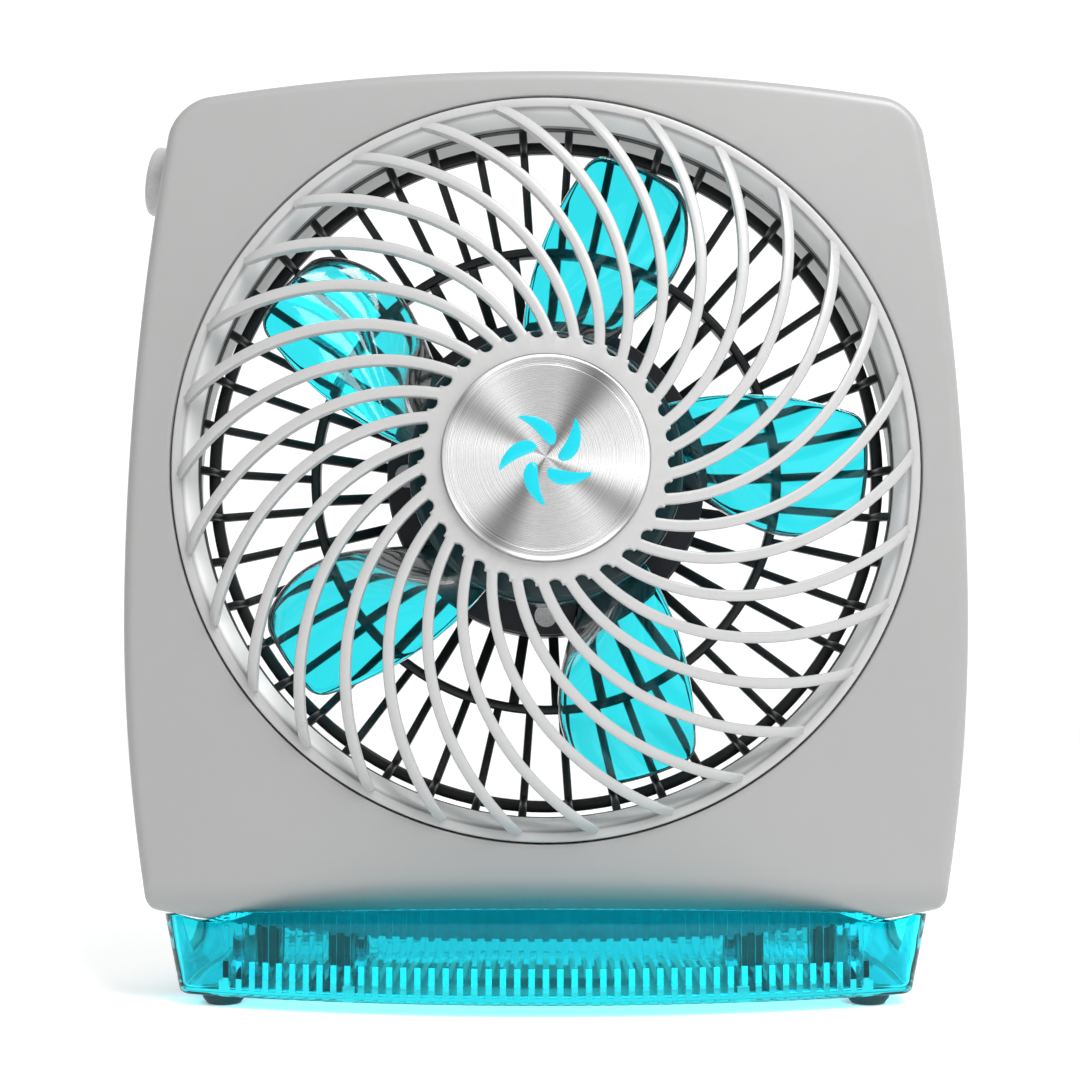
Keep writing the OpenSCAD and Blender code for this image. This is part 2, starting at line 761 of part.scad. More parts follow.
module shaft_clip() color(steel)
    round_part(plate_front_d - 1.2, plate_front_d - 0.4, 3.4, shaft_r);

// How far the base's bowed front falls back at a distance from the middle
function bow(x) = base_bow_r - sqrt(base_bow_r * base_bow_r - x * x);

// The base seen from above, drawn in by an inset
module base_outline(half_w, inset = 0) {
    steps = 16;
    y0 = face_y - base_front;
    y1 = face_y + base_back_d;
    front = [for (i = [0:steps]) let (x = half_w * (2 * i / steps - 1)) [x, y0 + bow(x)]];
    back = [for (i = [steps:-1:0]) let (x = half_w * (2 * i / steps - 1)) [x, y1 - bow(x) / 2]];
    offset(delta = -inset) offset(r = base_corner_r, $fn = 40) offset(delta = -base_corner_r)
        polygon(concat(front, back));
}

// The tray's outside, or its hollow when drawn in
module tray_form(z0, z1, inset) {
    rise = base_h - foot_h;
    hull() {
        translate([0, 0, z0]) linear_extrude(eps)
            base_outline(base_w / 2 - base_lean * (base_h - z0) / rise, inset);
        translate([0, 0, z1 - eps]) linear_extrude(eps)
            base_outline(base_w / 2 - base_lean * (base_h - z1) / rise, inset);
    }
}

// A post that carries a hinge pin
module hinge_post() {
    across(post_t) hull() {
        translate([pivot_y, pivot_z]) circle(r = post_r);
        translate([pivot_y - post_r - 1, foot_h + 0.5]) square([2 * post_r + 2, 1]);
    }
}

module base_tray() color(teal) {
    floor_z = foot_h + floor_t;
    difference() {
        union() {
            difference() {
                tray_form(foot_h, base_h, 0);
                tray_form(floor_z, base_h + 1, base_wall);
            }
            for (side = [-1, 1], x = [post_in_x, post_out_x]) translate([side * x, 0, 0]) {
                hinge_post();
                rib_y = face_y - base_front + bow(x) + base_wall + 0.5;
                rib_l = face_y + base_back_d - bow(x) / 2 - base_wall - 0.5 - rib_y;
                translate([-post_t / 2, rib_y, foot_h + 0.5])
                    cube([post_t, rib_l, rib_low_z - foot_h - 0.5]);
            }
        }
        for (side = [-1, 1], x = [post_in_x, post_out_x])
            translate([side * x, pivot_y, pivot_z]) along_x(-post_t, post_t, pin_r);
        rim_cuts();
        head_solid(-head_gap, split_d, -head_gap);
    }
}

// What is cut off above the rims: the front rim falls towards its ends and then drops
// to the low side and back rims, which leaves the head room to tilt.
module rim_cuts() {
    end_x = base_w / 2;
    steps = 12;
    top = [for (i = [0:steps]) let (x = end_x * (2 * i / steps - 1))
        [x * 1.1, base_h - rim_fall * pow(x / end_x, 2)]];
    slab(-base_front - 1, base_back_d + 1)
        polygon(concat(top, [[end_x * 1.1, base_h + 5], [-end_x * 1.1, base_h + 5]]));
    end_z = base_h - rim_fall;
    drop_d = base_front + 2;
    across(base_w + 10) polygon([
        [face_y + drop_d, base_h + 5], [face_y + drop_d, end_z],
        [face_y + drop_d + 4, end_z - 1.5], [face_y + drop_d + 10, side_rim_z + 1],
        [face_y + drop_d + 13, side_rim_z], [face_y + base_back_d + 2, side_rim_z],
        [face_y + base_back_d + 2, base_h + 5]]);
}

module at_feet() {
    for (side = [-1, 1], d = [foot_front_d, foot_back_d])
        translate([side * foot_x, face_y + d, 0]) children();
}

module foot_pads() color(rubber) at_feet() {
    cylinder(h = 0.6, r1 = foot_d / 2 - 0.5, r2 = foot_d / 2);
    translate([0, 0, 0.6]) cylinder(h = foot_h - 0.6, r1 = foot_d / 2, r2 = foot_d / 2 - 0.7);
}

module hinge_pins() color(steel) for (side = [-1, 1]) translate([0, pivot_y, pivot_z]) {
    along_x(side * (post_in_x - post_t / 2), side * (lug_in_x + lug_t / 2), pin_r);
    along_x(side * (lug_out_x - lug_t / 2), side * (post_out_x + post_t / 2), pin_r);
}

// One washer in each gap between a lug and its post
module friction_washers() color([0.85, 0.85, 0.82]) {
    gap = 0.1;
    for (side = [-1, 1]) translate([0, pivot_y, pivot_z]) difference() {
        union() {
            along_x(side * (post_in_x + post_t / 2), side * (lug_in_x - lug_t / 2 - gap), post_r);
            along_x(side * (lug_out_x + lug_t / 2 + gap), side * (post_out_x - post_t / 2), post_r);
        }
        along_x(side * (post_in_x - 2), side * (post_out_x + 2), pin_r);
    }
}

base_tray();
foot_pads();
hinge_pins();
friction_washers();
front_housing();
rear_housing();
front_grille();
hub_badge();
rear_grille();
motor_cover();
front_bearing_plate();
stator_core();
stator_coils();
front_bearing();
rear_bearing();
motor_screws();
cover_screws();
grille_screws();
housing_screws();
left_hinge_bracket();
right_hinge_bracket();
bracket_screws();
cord_inlet();
push_switch();
switch_screws();
button_bezel();
impeller();
motor_shaft();
rotor_core();
impeller_nut();
shaft_clip();
speed_button();
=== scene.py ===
# A small box fan: grey housing, swirl grille, teal impeller and a clear teal tilting base.
import bpy
import json
import math
import numpy as np
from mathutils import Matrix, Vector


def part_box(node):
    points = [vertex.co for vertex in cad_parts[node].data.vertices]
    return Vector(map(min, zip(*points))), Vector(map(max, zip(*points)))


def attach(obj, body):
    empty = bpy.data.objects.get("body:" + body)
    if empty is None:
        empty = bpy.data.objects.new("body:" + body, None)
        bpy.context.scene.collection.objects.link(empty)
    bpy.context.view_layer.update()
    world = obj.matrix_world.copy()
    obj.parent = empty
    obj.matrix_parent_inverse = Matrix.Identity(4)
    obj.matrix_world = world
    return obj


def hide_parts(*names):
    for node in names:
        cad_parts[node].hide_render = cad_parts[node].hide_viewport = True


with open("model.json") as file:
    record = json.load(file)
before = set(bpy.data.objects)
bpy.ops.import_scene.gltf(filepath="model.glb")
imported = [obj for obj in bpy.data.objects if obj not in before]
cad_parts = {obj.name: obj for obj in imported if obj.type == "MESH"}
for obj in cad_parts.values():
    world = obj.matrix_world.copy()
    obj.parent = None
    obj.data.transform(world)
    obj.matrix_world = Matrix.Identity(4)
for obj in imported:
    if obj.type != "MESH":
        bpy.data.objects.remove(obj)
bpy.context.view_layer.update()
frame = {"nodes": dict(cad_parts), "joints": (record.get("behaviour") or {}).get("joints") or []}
mm = 0.001


def nodeBox(node):
    low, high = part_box(node)
    return np.array(low) / mm, np.array(high) / mm


# The main sizes of the fan, in millimetres, read from the CAD frame
frontLow, frontHigh = nodeBox("front_housing")
rearLow, rearHigh = nodeBox("rear_housing")
grilleLow, grilleHigh = nodeBox("front_grille")
badgeLow, badgeHigh = nodeBox("hub_badge")
baseLow, baseHigh = nodeBox("base_tray")
cageLow, cageHigh = nodeBox("rear_grille")
faceY = frontLow[1]
splitDepth = frontHigh[1] - faceY
backDepth = rearHigh[1] - faceY
halfWidth = frontHigh[0]
topZ = frontHigh[2]
bellyZ = frontLow[2]
ringR = (grilleHigh[0] - grilleLow[0]) / 2
hubZ = (grilleHigh[2] + grilleLow[2]) / 2
domeRise = faceY - grilleLow[1]
print("sizes read: face at", round(faceY, 2), "hub height", round(hubZ, 2), "ring radius", round(ringR, 2))


# ---------- small tools for building meshes
class Pile:
    # Gathers points and faces of one piece
    def __init__(self):
        self.points = []
        self.faces = []
        self.count = 0

    def add(self, points, faces):
        self.points.append(np.asarray(points, float).reshape(-1, 3))
        self.faces += [tuple(int(i) + self.count for i in f) for f in faces]
        self.count += len(self.points[-1])

    def rows(self, grid, closeStack=False, capFirst=False, capLast=False, flip=False):
        # A stack of rows of points joined by quads
        grid = np.asarray(grid, float)
        n, m = grid.shape[:2]
        faces = []
        for i in range(n if closeStack else n - 1):
            a = i * m
            b = ((i + 1) % n) * m
            for j in range(m):
                k = (j + 1) % m
                faces.append((a + j, a + k, b + k, b + j))
        if capFirst:
            faces.append(tuple(range(m - 1, -1, -1)))
        if capLast:
            faces.append(tuple(range((n - 1) * m, n * m)))
        if flip:
            faces = [f[::-1] for f in faces]
        self.add(grid, faces)


def makePiece(name, pile, body, material, hides=(), sharp=35):
    mesh = bpy.data.meshes.new(name)
    mesh.from_pydata((np.concatenate(pile.points) * mm).tolist(), [], pile.faces)
    mesh.validate()
    mesh.update()
    obj = bpy.data.objects.new(name, mesh)
    bpy.context.scene.collection.objects.link(obj)
    mesh.materials.append(material)
    smoothPiece(obj, sharp)
    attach(obj, body)
    if hides:
        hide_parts(*hides)
    return obj


def smoothPiece(obj, sharp):
    for polygon in obj.data.polygons:
        polygon.use_smooth = True
    obj.data.set_sharp_from_angle(angle=math.radians(sharp))


def softened(profile, radius, steps=3):
    # Rounds the corners of a closed flat outline. radius is one number or one for each corner.
    pts = [np.array(p, float) for p in profile]
    radii = radius if isinstance(radius, (list, tuple)) else [radius] * len(pts)
    out = []
    for i, p in enumerate(pts):
        a = pts[i - 1] - p
        b = pts[(i + 1) % len(pts)] - p
        la, lb = np.linalg.norm(a), np.linalg.norm(b)
        r = radii[i]
        if r <= 0 or la < 1e-6 or lb < 1e-6:
            out.append(p)
            continue
        a, b = a / la, b / lb
        half = math.acos(max(-1, min(1, float(a @ b)))) / 2
        reach = min(r / max(math.tan(half), 1e-3), la * 0.45, lb * 0.45)
        r = reach * math.tan(half)
        if half > math.radians(86):
            out.append(p)
            continue
        centre = p + (a + b) / np.linalg.norm(a + b) * (r / math.sin(half))
        start, end = p + a * reach - centre, p + b * reach - centre
        a0, a1 = math.atan2(start[1], start[0]), math.atan2(end[1], end[0])
        sweep = (a1 - a0 + math.pi) % (2 * math.pi) - math.pi
        for s in range(steps + 1):
            t = a0 + sweep * s / steps
            out.append(centre + r * np.array([math.cos(t), math.sin(t)]))
    return np.array(out)


def ring(profile, segments=144):
    # Turns an outline of (radius, depth) points about the fan's axis
    angle = np.arange(segments) * 2 * math.pi / segments
    grid = []
    for r, d in profile:
        grid.append(np.stack([r * np.cos(angle), np.full(segments, faceY + d), hubZ + r * np.sin(angle)], 1))
    return np.array(grid)


def rectangle(inner, outer, front, back):
    return [(inner, front), (outer, front), (outer, back), (inner, back)]


def addRing(pile, profile, radius=0.3, segments=144, steps=3):
    # A closed body of revolution about the fan's axis
    outline = softened(profile, radius, steps)
    pile.rows(ring(outline, segments), closeStack=True)


def bar(path, across, outline):
    # A bar swept along a path. across holds the sideways direction at each point of the path.
    tangent = np.gradient(path, axis=0)
    tangent /= np.linalg.norm(tangent, axis=1)[:, None]
    side = across / np.linalg.norm(across, axis=1)[:, None]
    up = np.cross(side, tangent)
    up /= np.linalg.norm(up, axis=1)[:, None]
    return (path[:, None, :] + outline[None, :, 0, None] * side[:, None, :]
            + outline[None, :, 1, None] * up[:, None, :])


def boxOutline(w, h, radius=0.4, steps=3):
    return softened([(-w / 2, -h / 2), (w / 2, -h / 2), (w / 2, h / 2), (-w / 2, h / 2)], radius, steps)


def polarPoint(r, angle, d):
    return np.stack([r * np.cos(angle), faceY + d + 0 * r, hubZ + r * np.sin(angle)], -1)


def combine(obj, shapes, operation, sharp):
    # Cuts closed shapes out of a piece, or joins them to it, and throws the shapes away
    for shape in shapes:
        mod = obj.modifiers.new("combine", "BOOLEAN")
        mod.operation = operation
        mod.solver = "EXACT"
        mod.object = shape
    bpy.context.view_layer.update()
    graph = bpy.context.evaluated_depsgraph_get()
    mesh = bpy.data.meshes.new_from_object(obj.evaluated_get(graph))
    obj.modifiers.clear()
    old = obj.data
    obj.data = mesh
    bpy.data.meshes.remove(old)
    for shape in shapes:
        bpy.data.objects.remove(shape)
    smoothPiece(obj, sharp)


def plainBody(points, faces):
    mesh = bpy.data.meshes.new("cutter")
    mesh.from_pydata((np.asarray(points) * mm).tolist(), [], [tuple(int(i) for i in f) for f in faces])
    obj = bpy.data.objects.new("cutter", mesh)
    bpy.context.scene.collection.objects.link(obj)
    return obj


def rodCutter(start, end, r, segments=48):
    start, end = np.array(start, float), np.array(end, float)
    axis = (end - start) / np.linalg.norm(end - start)
    side = np.cross(axis, [0.0, 0.0, 1.0] if abs(axis[2]) < 0.9 else [1.0, 0.0, 0.0])
    side /= np.linalg.norm(side)
    up = np.cross(axis, side)
    angle = np.arange(segments) * 2 * math.pi / segments
    loop = r * (np.cos(angle)[:, None] * side + np.sin(angle)[:, None] * up)
    pile = Pile()
    pile.rows([start + loop, end + loop], capFirst=True, capLast=True)
    return plainBody(pile.points[0], pile.faces)


def blockCutter(low, high):
    x0, y0, z0 = low
    x1, y1, z1 = high
    points = [(x, y, z) for z in (z0, z1) for x, y in ((x0, y0), (x1, y0), (x1, y1), (x0, y1))]
    faces = [(3, 2, 1, 0), (4, 5, 6, 7), (0, 1, 5, 4), (1, 2, 6, 5), (2, 3, 7, 6), (3, 0, 4, 7)]
    return plainBody(points, faces)


# ---------- materials
def newMaterial(name):
    mat = bpy.data.materials.new(name)
    mat.use_nodes = True
    nodes, links = mat.node_tree.nodes, mat.node_tree.links
    nodes.clear()
    out = nodes.new("ShaderNodeOutputMaterial")
    skin = nodes.new("ShaderNodeBsdfPrincipled")
    links.new(skin.outputs[0], out.inputs[0])
    spot = nodes.new("ShaderNodeTexCoord")
    return mat, nodes, links, skin, spot.outputs["Object"], out


def noiseOn(nodes, links, vector, scale, detail=3.0, rough=0.55):
    made = nodes.new("ShaderNodeTexNoise")
    made.inputs["Scale"].default_value = scale
    made.inputs["Detail"].default_value = detail
    made.inputs["Roughness"].default_value = rough
    links.new(vector, made.inputs["Vector"])
    return made.outputs["Fac"]


def spread(nodes, links, value, low, high, fromLow=0.3, fromHigh=0.7):
    made = nodes.new("ShaderNodeMapRange")
    made.inputs["From Min"].default_value = fromLow
    made.inputs["From Max"].default_value = fromHigh
    made.inputs["To Min"].default_value = low
    made.inputs["To Max"].default_value = high
    links.new(value, made.inputs["Value"])
    return made.outputs["Result"]


def shadeMix(nodes, links, value, first, second):
    # Mixes two colours, each a fixed colour or another node's output
    made = nodes.new("ShaderNodeMix")
    made.data_type = "RGBA"
    for socket, colour in zip(made.inputs[6:8], (first, second)):
        if isinstance(colour, tuple):
            socket.default_value = (*colour, 1)
        else:
            links.new(colour, socket)
    links.new(value, made.inputs[0])
    return made.outputs[2]


def bumpOn(nodes, links, heights, skin):
    # heights is a list of (value, strength, distance in mm), the finest last
    last = None
    for value, strength, distance in heights:
        made = nodes.new("ShaderNodeBump")
        made.inputs["Strength"].default_value = strength
        made.inputs["Distance"].default_value = distance * mm
        links.new(value, made.inputs["Height"])
        if last:
            links.new(last, made.inputs["Normal"])
        last = made.outputs["Normal"]
    links.new(last, skin.inputs["Normal"])


def plasticMaterial(name, colour, roughness, grain=0.02, spreadOf=0.02):
    # Moulded plastic: slow changes of shade, a fine moulded grain and a little handling wear
    mat, nodes, links, skin, spot, out = newMaterial(name)
    slow = noiseOn(nodes, links, spot, 18, 2)
    fine = noiseOn(nodes, links, spot, 2600, 2)
    middle = noiseOn(nodes, links, spot, 260, 4)
    light = tuple(min(1, c * (1 + spreadOf)) for c in colour)
    dark = tuple(c * (1 - spreadOf) for c in colour)
    links.new(shadeMix(nodes, links, spread(nodes, links, slow, 0, 1), dark, light), skin.inputs["Base Color"])
    links.new(spread(nodes, links, middle, roughness * 0.9, min(1, roughness * 1.1)), skin.inputs["Roughness"])
    skin.inputs["IOR"].default_value = 1.46
    bumpOn(nodes, links, [(middle, 0.15, grain * 2), (fine, 0.35, grain)], skin)
    return mat


def metalMaterial(name, colour, roughness):
    mat, nodes, links, skin, spot, out = newMaterial(name)
    slow = noiseOn(nodes, links, spot, 90, 3)
    fine = noiseOn(nodes, links, spot, 3200, 2)
    dark = tuple(c * 0.86 for c in colour)
    links.new(shadeMix(nodes, links, spread(nodes, links, slow, 0, 1), dark, colour), skin.inputs["Base Color"])
    links.new(spread(nodes, links, fine, roughness * 0.8, roughness * 1.25), skin.inputs["Roughness"])
    skin.inputs["Metallic"].default_value = 1.0
    bumpOn(nodes, links, [(fine, 0.25, 0.01)], skin)
    return mat


def clearMaterial(name, colour, shadow, roughness, glint):
    # Tinted clear plastic. Light passes through it to what lies behind, tinted.
    mat, nodes, links, skin, spot, out = newMaterial(name)
    slow = noiseOn(nodes, links, spot, 25, 2)
    fine = noiseOn(nodes, links, spot, 900, 3)
    dark = tuple(c * 0.93 for c in colour)
    links.new(shadeMix(nodes, links, spread(nodes, links, slow, 0, 1), dark, colour), skin.inputs["Base Color"])
    links.new(spread(nodes, links, fine, roughness * 0.7, roughness * 1.3), skin.inputs["Roughness"])
    skin.inputs["Transmission Weight"].default_value = 1.0
    skin.inputs["IOR"].default_value = 1.49
    skin.inputs["Specular Tint"].default_value = (*glint, 1)
    bumpOn(nodes, links, [(fine, 0.1, 0.006)], skin)
    through = nodes.new("ShaderNodeBsdfTransparent")
    through.inputs["Color"].default_value = (*shadow, 1)
    ray = nodes.new("ShaderNodeLightPath")
    mix = nodes.new("ShaderNodeMixShader")
    links.new(ray.outputs["Is Shadow Ray"], mix.inputs[0])
    links.new(skin.outputs[0], mix.inputs[1])
    links.new(through.outputs[0], mix.inputs[2])
    links.new(mix.outputs[0], out.inputs[0])
    return mat


def positionParts(nodes, links, spot, origin):
    # The three parts of the place on the piece, measured from a point in metres
    away = nodes.new("ShaderNodeVectorMath")
    away.operation = "SUBTRACT"
    links.new(spot, away.inputs[0])
    away.inputs[1].default_value = origin
    split = nodes.new("ShaderNodeSeparateXYZ")
    links.new(away.outputs[0], split.inputs[0])
    return split.outputs


def mathOn(nodes, links, operation, first, second):
    made = nodes.new("ShaderNodeMath")
    made.operation = operation
    for socket, value in zip(made.inputs, (first, second)):
        if isinstance(value, (int, float)):
            socket.default_value = value
        elif value is not None:
            links.new(value, socket)
    return made.outputs[0]


def grilleMaterial(name, colour, paintedFunnelLight, roughness):
    # The grille's plastic, with painted light inside the funnel behind the face: there it is painted a paler,
    # near white shade that stands for the light the funnel catches
    mat = plasticMaterial(name, colour, roughness, grain=0.006, spreadOf=0.015)
    nodes, links = mat.node_tree.nodes, mat.node_tree.links
    skin = next(n for n in nodes if n.type == "BSDF_PRINCIPLED")
    spot = next(n for n in nodes if n.type == "TEX_COORD").outputs["Object"]
    plain = skin.inputs["Base Color"].links[0].from_socket
    depth = positionParts(nodes, links, spot, (0, faceY * mm, 0))[1]
    # Painted light: a mask that rises from 0 to 1 just behind the face, where the funnel is painted near white
    paintedLightMask = spread(nodes, links, depth, 0, 1, 0.4 * mm, 1.4 * mm)
    links.new(shadeMix(nodes, links, paintedLightMask, plain, paintedFunnelLight), skin.inputs["Base Color"])
    return mat


def spunMetal(name, colour, dark, fans=4, turn=57, fanStrength=0.8):
    # Sheet metal turned on a lathe: fine rings, and a painted reflection: darker rays fanning out from the
    # middle, laid into the base colour by angle
    mat, nodes, links, skin, spot, out = newMaterial(name)
    x, y, z = positionParts(nodes, links, spot, (0, 0, hubZ * mm))
    flat = nodes.new("ShaderNodeCombineXYZ")
    links.new(x, flat.inputs[0])
    links.new(z, flat.inputs[1])
    size = nodes.new("ShaderNodeVectorMath")
    size.operation = "LENGTH"
    links.new(flat.outputs[0], size.inputs[0])
    ringNoise = nodes.new("ShaderNodeTexNoise")
    ringNoise.noise_dimensions = "1D"
    ringNoise.inputs["Scale"].default_value = 5200
    ringNoise.inputs["Detail"].default_value = 2
    links.new(size.outputs["Value"], ringNoise.inputs["W"])
    rings = ringNoise.outputs["Fac"]
    # Painted reflection: the dark colour is mixed in by the angle round the hub, in rays, standing in for the
    # highlights of turned metal
    angle = mathOn(nodes, links, "SUBTRACT", mathOn(nodes, links, "ARCTAN2", z, x), math.radians(turn))
    wave = mathOn(nodes, links, "COSINE", mathOn(nodes, links, "MULTIPLY", angle, fans), None)
    rays = mathOn(nodes, links, "POWER", spread(nodes, links, wave, 0, 1, -0.3, 1), 2.2)
    ringShade = shadeMix(nodes, links, spread(nodes, links, rings, 0, 1), tuple(c * 0.94 for c in colour),
                         colour)
    share = mathOn(nodes, links, "MULTIPLY", rays, fanStrength)
    links.new(shadeMix(nodes, links, share, ringShade, dark), skin.inputs["Base Color"])
    links.new(spread(nodes, links, rings, 0.25, 0.33), skin.inputs["Roughness"])
    skin.inputs["Metallic"].default_value = 0.7
    skin.inputs["Anisotropic"].default_value = 0.8
    tangent = nodes.new("ShaderNodeTangent")
    tangent.direction_type = "RADIAL"
    tangent.axis = "Y"
    links.new(tangent.outputs[0], skin.inputs["Tangent"])
    bumpOn(nodes, links, [(rings, 0.05, 0.006)], skin)
    return mat


finish = {
    # The funnel colour is painted light, not a colour of the grille's plastic
    "housing": (0.315, 0.315, 0.313), "grille": (0.43, 0.43, 0.428), "funnel": (0.95, 0.95, 0.95),
    "button": (0.4, 0.4, 0.398), "black": (0.012, 0.013, 0.014), "blade": (0.03, 0.74, 0.83),
    "bladeHub": (0.003, 0.035, 0.042), "base": (0.02, 0.78, 0.88), "baseGlint": (0.25, 0.75, 0.8),
    # The badge's second colour is painted reflection, the dark of the rays painted on the spun badge
    "bladeGlint": (0.4, 0.8, 0.85), "badge": (0.95, 0.95, 0.95), "badgePaintedReflection": (0.16, 0.16, 0.16),
    "whorl": (0.01, 0.5, 0.6), "steel": (0.62, 0.62, 0.63), "core": (0.4, 0.4, 0.42),
    # The near black steel colour is painted shade for the shaded inside of the hub
    "shadeDarkSteel": (0.045, 0.045, 0.05), "copper": (0.72, 0.36, 0.18), "bronze": (0.6, 0.43, 0.2),
    "nylon": (0.8, 0.79, 0.74), "rubber": (0.004, 0.03, 0.035)}
greyPlastic = plasticMaterial("grey_plastic", finish["housing"], 0.34, grain=0.008, spreadOf=0.012)
grillePlastic = grilleMaterial("light_grey_plastic", finish["grille"], finish["funnel"], 0.3)
buttonPlastic = plasticMaterial("button_grey", finish["button"], 0.28, grain=0.005, spreadOf=0.015)
whorlPaint = plasticMaterial("whorl_teal", finish["whorl"], 0.25, grain=0.004, spreadOf=0.03)
blackPlastic = plasticMaterial("black_plastic", finish["black"], 0.38, grain=0.012, spreadOf=0.12)
rubberSkin = plasticMaterial("dark_rubber", finish["rubber"], 0.62, grain=0.03, spreadOf=0.1)
clearTeal = clearMaterial("clear_teal", finish["base"], (0.3, 0.88, 0.94), 0.035, finish["baseGlint"])
bladeTeal = clearMaterial("blade_teal", finish["blade"], (0.2, 0.8, 0.86), 0.06, finish["bladeGlint"])
hubTeal = plasticMaterial("hub_teal", finish["bladeHub"], 0.22, grain=0.004, spreadOf=0.05)
# Steel darkened near to black as painted shade, for the front bearing plate seen in shade behind the impeller
# hub
shadeDarkSteel = metalMaterial("shade_dark_steel", finish["shadeDarkSteel"], 0.42)
zincSteel = metalMaterial("plated_steel", finish["steel"], 0.3)
coreSteel = metalMaterial("core_steel", finish["core"], 0.42)
copperWire = metalMaterial("copper_wire", finish["copper"], 0.35)
bearingBronze = metalMaterial("bearing_bronze", finish["bronze"], 0.45)
nylon = plasticMaterial("natural_nylon", finish["nylon"], 0.4)
badgeMetal = spunMetal("spun_metal", finish["badge"], finish["badgePaintedReflection"])
print("materials made")


# ---------- the head's two shells
shell = {
    "cornerRadius": 7.0, "lowCornerRadius": 1.5, "frontEdge": 2.4, "backEdge": 3.0, "archRadius": 440.0,
    "bellyRadius": 340.0, "upperSideRadius": 580.0, "lowerSideRadius": 365.0, "widestHeight": 83.0,
    "chinHeight": 26.6, "chinDepth": 28.0, "heelDepth": 12.0, "heelRise": 4.0, "wall": 2.2, "seam": 0.3,
    "openingGap": 0.4, "openingEdge": 0.3, "ledgeDepth": 5.2, "ledgeWall": 2.5, "ledgeLip": 4.3,
    "collarWall": 2.4, "ductWall": 1.8, "rayHeight": 100.0, "sharp": 28, "outsideDepths": (30, 32),
    "insideDepths": (24, 20, 16, 12, 9, 6.5, 4.5, 3.2), "rearInside": 38, "upperCornerTurn": 46.2,
    "lowerCornerTurn": 43.5, "ductMiddle": 22, "mouthDepth": 8, "mouthEdge": 0.8}
openR = ringR + shell["openingGap"]
collarR = openR + shell["collarWall"]
ductR = collarR - shell["ductWall"]
lipR = openR - shell["ledgeLip"] - 0.4
ledgeBack = shell["ledgeDepth"] + shell["ledgeWall"]


def roundedMin(a, b, r):
    # The nearer of two walls, with the corner between them rounded
    corner = r - np.hypot(np.maximum(r - a, 0), np.maximum(r - b, 0))
    return np.where((a < r) & (b < r), corner, np.minimum(a, b))


def undersideHeight(x, d, inset):
    s = shell
    arch = bellyZ + inset + s["bellyRadius"] - np.sqrt(s["bellyRadius"] ** 2 - x ** 2)
    profile = bellyZ + inset
    if d < s["chinDepth"]:
        share = (s["chinDepth"] - max(d, inset)) / (s["chinDepth"] - inset)
        profile = s["chinHeight"] - (s["chinHeight"] - bellyZ - inset) * math.sqrt(max(0, 1 - share ** 2))
    heelStart = backDepth - s["heelDepth"]
    if d > heelStart:
        share = min(1, (d - heelStart) / (s["heelDepth"] - inset))
        profile = bellyZ + s["heelRise"] - (s["heelRise"] - inset) * math.sqrt(1 - share ** 2)
    blend = 1.2
    lift = np.sqrt((arch - profile) ** 2 + blend ** 2)
    return (arch + profile + lift) / 2 - 0.5 * blend * (1 if d > s["chinDepth"] and d < heelStart else 0)


def headDistance(x, z, d, inset, under):
    # How far inside the head's outline a point is
    s = shell
    radius = np.where(z > s["widestHeight"], s["upperSideRadius"], s["lowerSideRadius"])
    side = halfWidth - radius + np.sqrt(radius ** 2 - (z - s["widestHeight"]) ** 2) - np.abs(x)
    crown = topZ - s["archRadius"] + np.sqrt(s["archRadius"] ** 2 - x ** 2) - z
    inside = roundedMin(side, crown, s["cornerRadius"])
    return roundedMin(inside, z - undersideHeight(x, d, under) + inset, s["lowCornerRadius"])


def rayAngles():
    # Directions of the rays that find the head's outline, closer together at its corners
    base = np.arange(0, 360, 0.75)
    upper = np.arange(-5, 5, 0.2)
    lower = np.arange(-4.5, 3.5, 0.1)
    high, low = shell["upperCornerTurn"], shell["lowerCornerTurn"]
    extra = np.concatenate([high + upper, 180 - high + upper, lower - low, 180 + low - lower])
    return np.radians(np.unique(np.round(np.concatenate([base, extra % 360]), 3)))


rays = rayAngles()


def headLoop(d, inset=0.0, under=0.0):
    # The head's outline at a depth, as one point along each ray
    low, high = np.full(len(rays), 30.0), np.full(len(rays), 140.0)
    c, s = np.cos(rays), np.sin(rays)
    for _ in range(34):
        mid = (low + high) / 2
        inside = headDistance(mid * c, shell["rayHeight"] + mid * s, d, inset, under) > inset
        low = np.where(inside, mid, low)
        high = np.where(inside, high, mid)
    return np.stack([low * c, np.full(len(rays), faceY + d), shell["rayHeight"] + low * s], 1)


faceLoop = headLoop(0.0, shell["frontEdge"])
hubAngles = np.arctan2(faceLoop[:, 2] - hubZ, faceLoop[:, 0])


def circleLoop(r, d):
    return polarPoint(np.full(len(rays), float(r)), hubAngles, d)


def buildFrontShell():
    s = shell
    e = s["openingEdge"]
    loops = [circleLoop(openR, s["ledgeDepth"]), circleLoop(openR, e), circleLoop(openR + e * 0.3, e * 0.3),
             circleLoop(openR + e, 0), circleLoop(openR + e + 0.6, 0)]
    loops.append(headLoop(0.0, s["frontEdge"] + 0.6))
    start = s["frontEdge"]
    for step in range(8):
        turn = math.pi / 2 * step / 7
        loops.append(headLoop(start * (1 - math.cos(turn)), start * (1 - math.sin(turn))))
    for step in range(1, 13):
        loops.append(headLoop(start + (s["chinDepth"] - start) * (1 - math.cos(math.pi / 2 * step / 12))))
    for depth in (*s["outsideDepths"], splitDepth - 0.8, splitDepth - s["seam"]):
        loops.append(headLoop(depth))
    loops.append(headLoop(splitDepth, s["seam"], s["seam"]))
    w = s["wall"]
    for depth in (splitDepth, s["chinDepth"], *s["insideDepths"], w):
        loops.append(headLoop(depth, w, w))
    loops += [circleLoop(collarR, w), circleLoop(collarR, ledgeBack), circleLoop(lipR, ledgeBack),
              circleLoop(lipR, s["ledgeDepth"])]
    pile = Pile()
    pile.rows(loops, closeStack=True)
    return pile


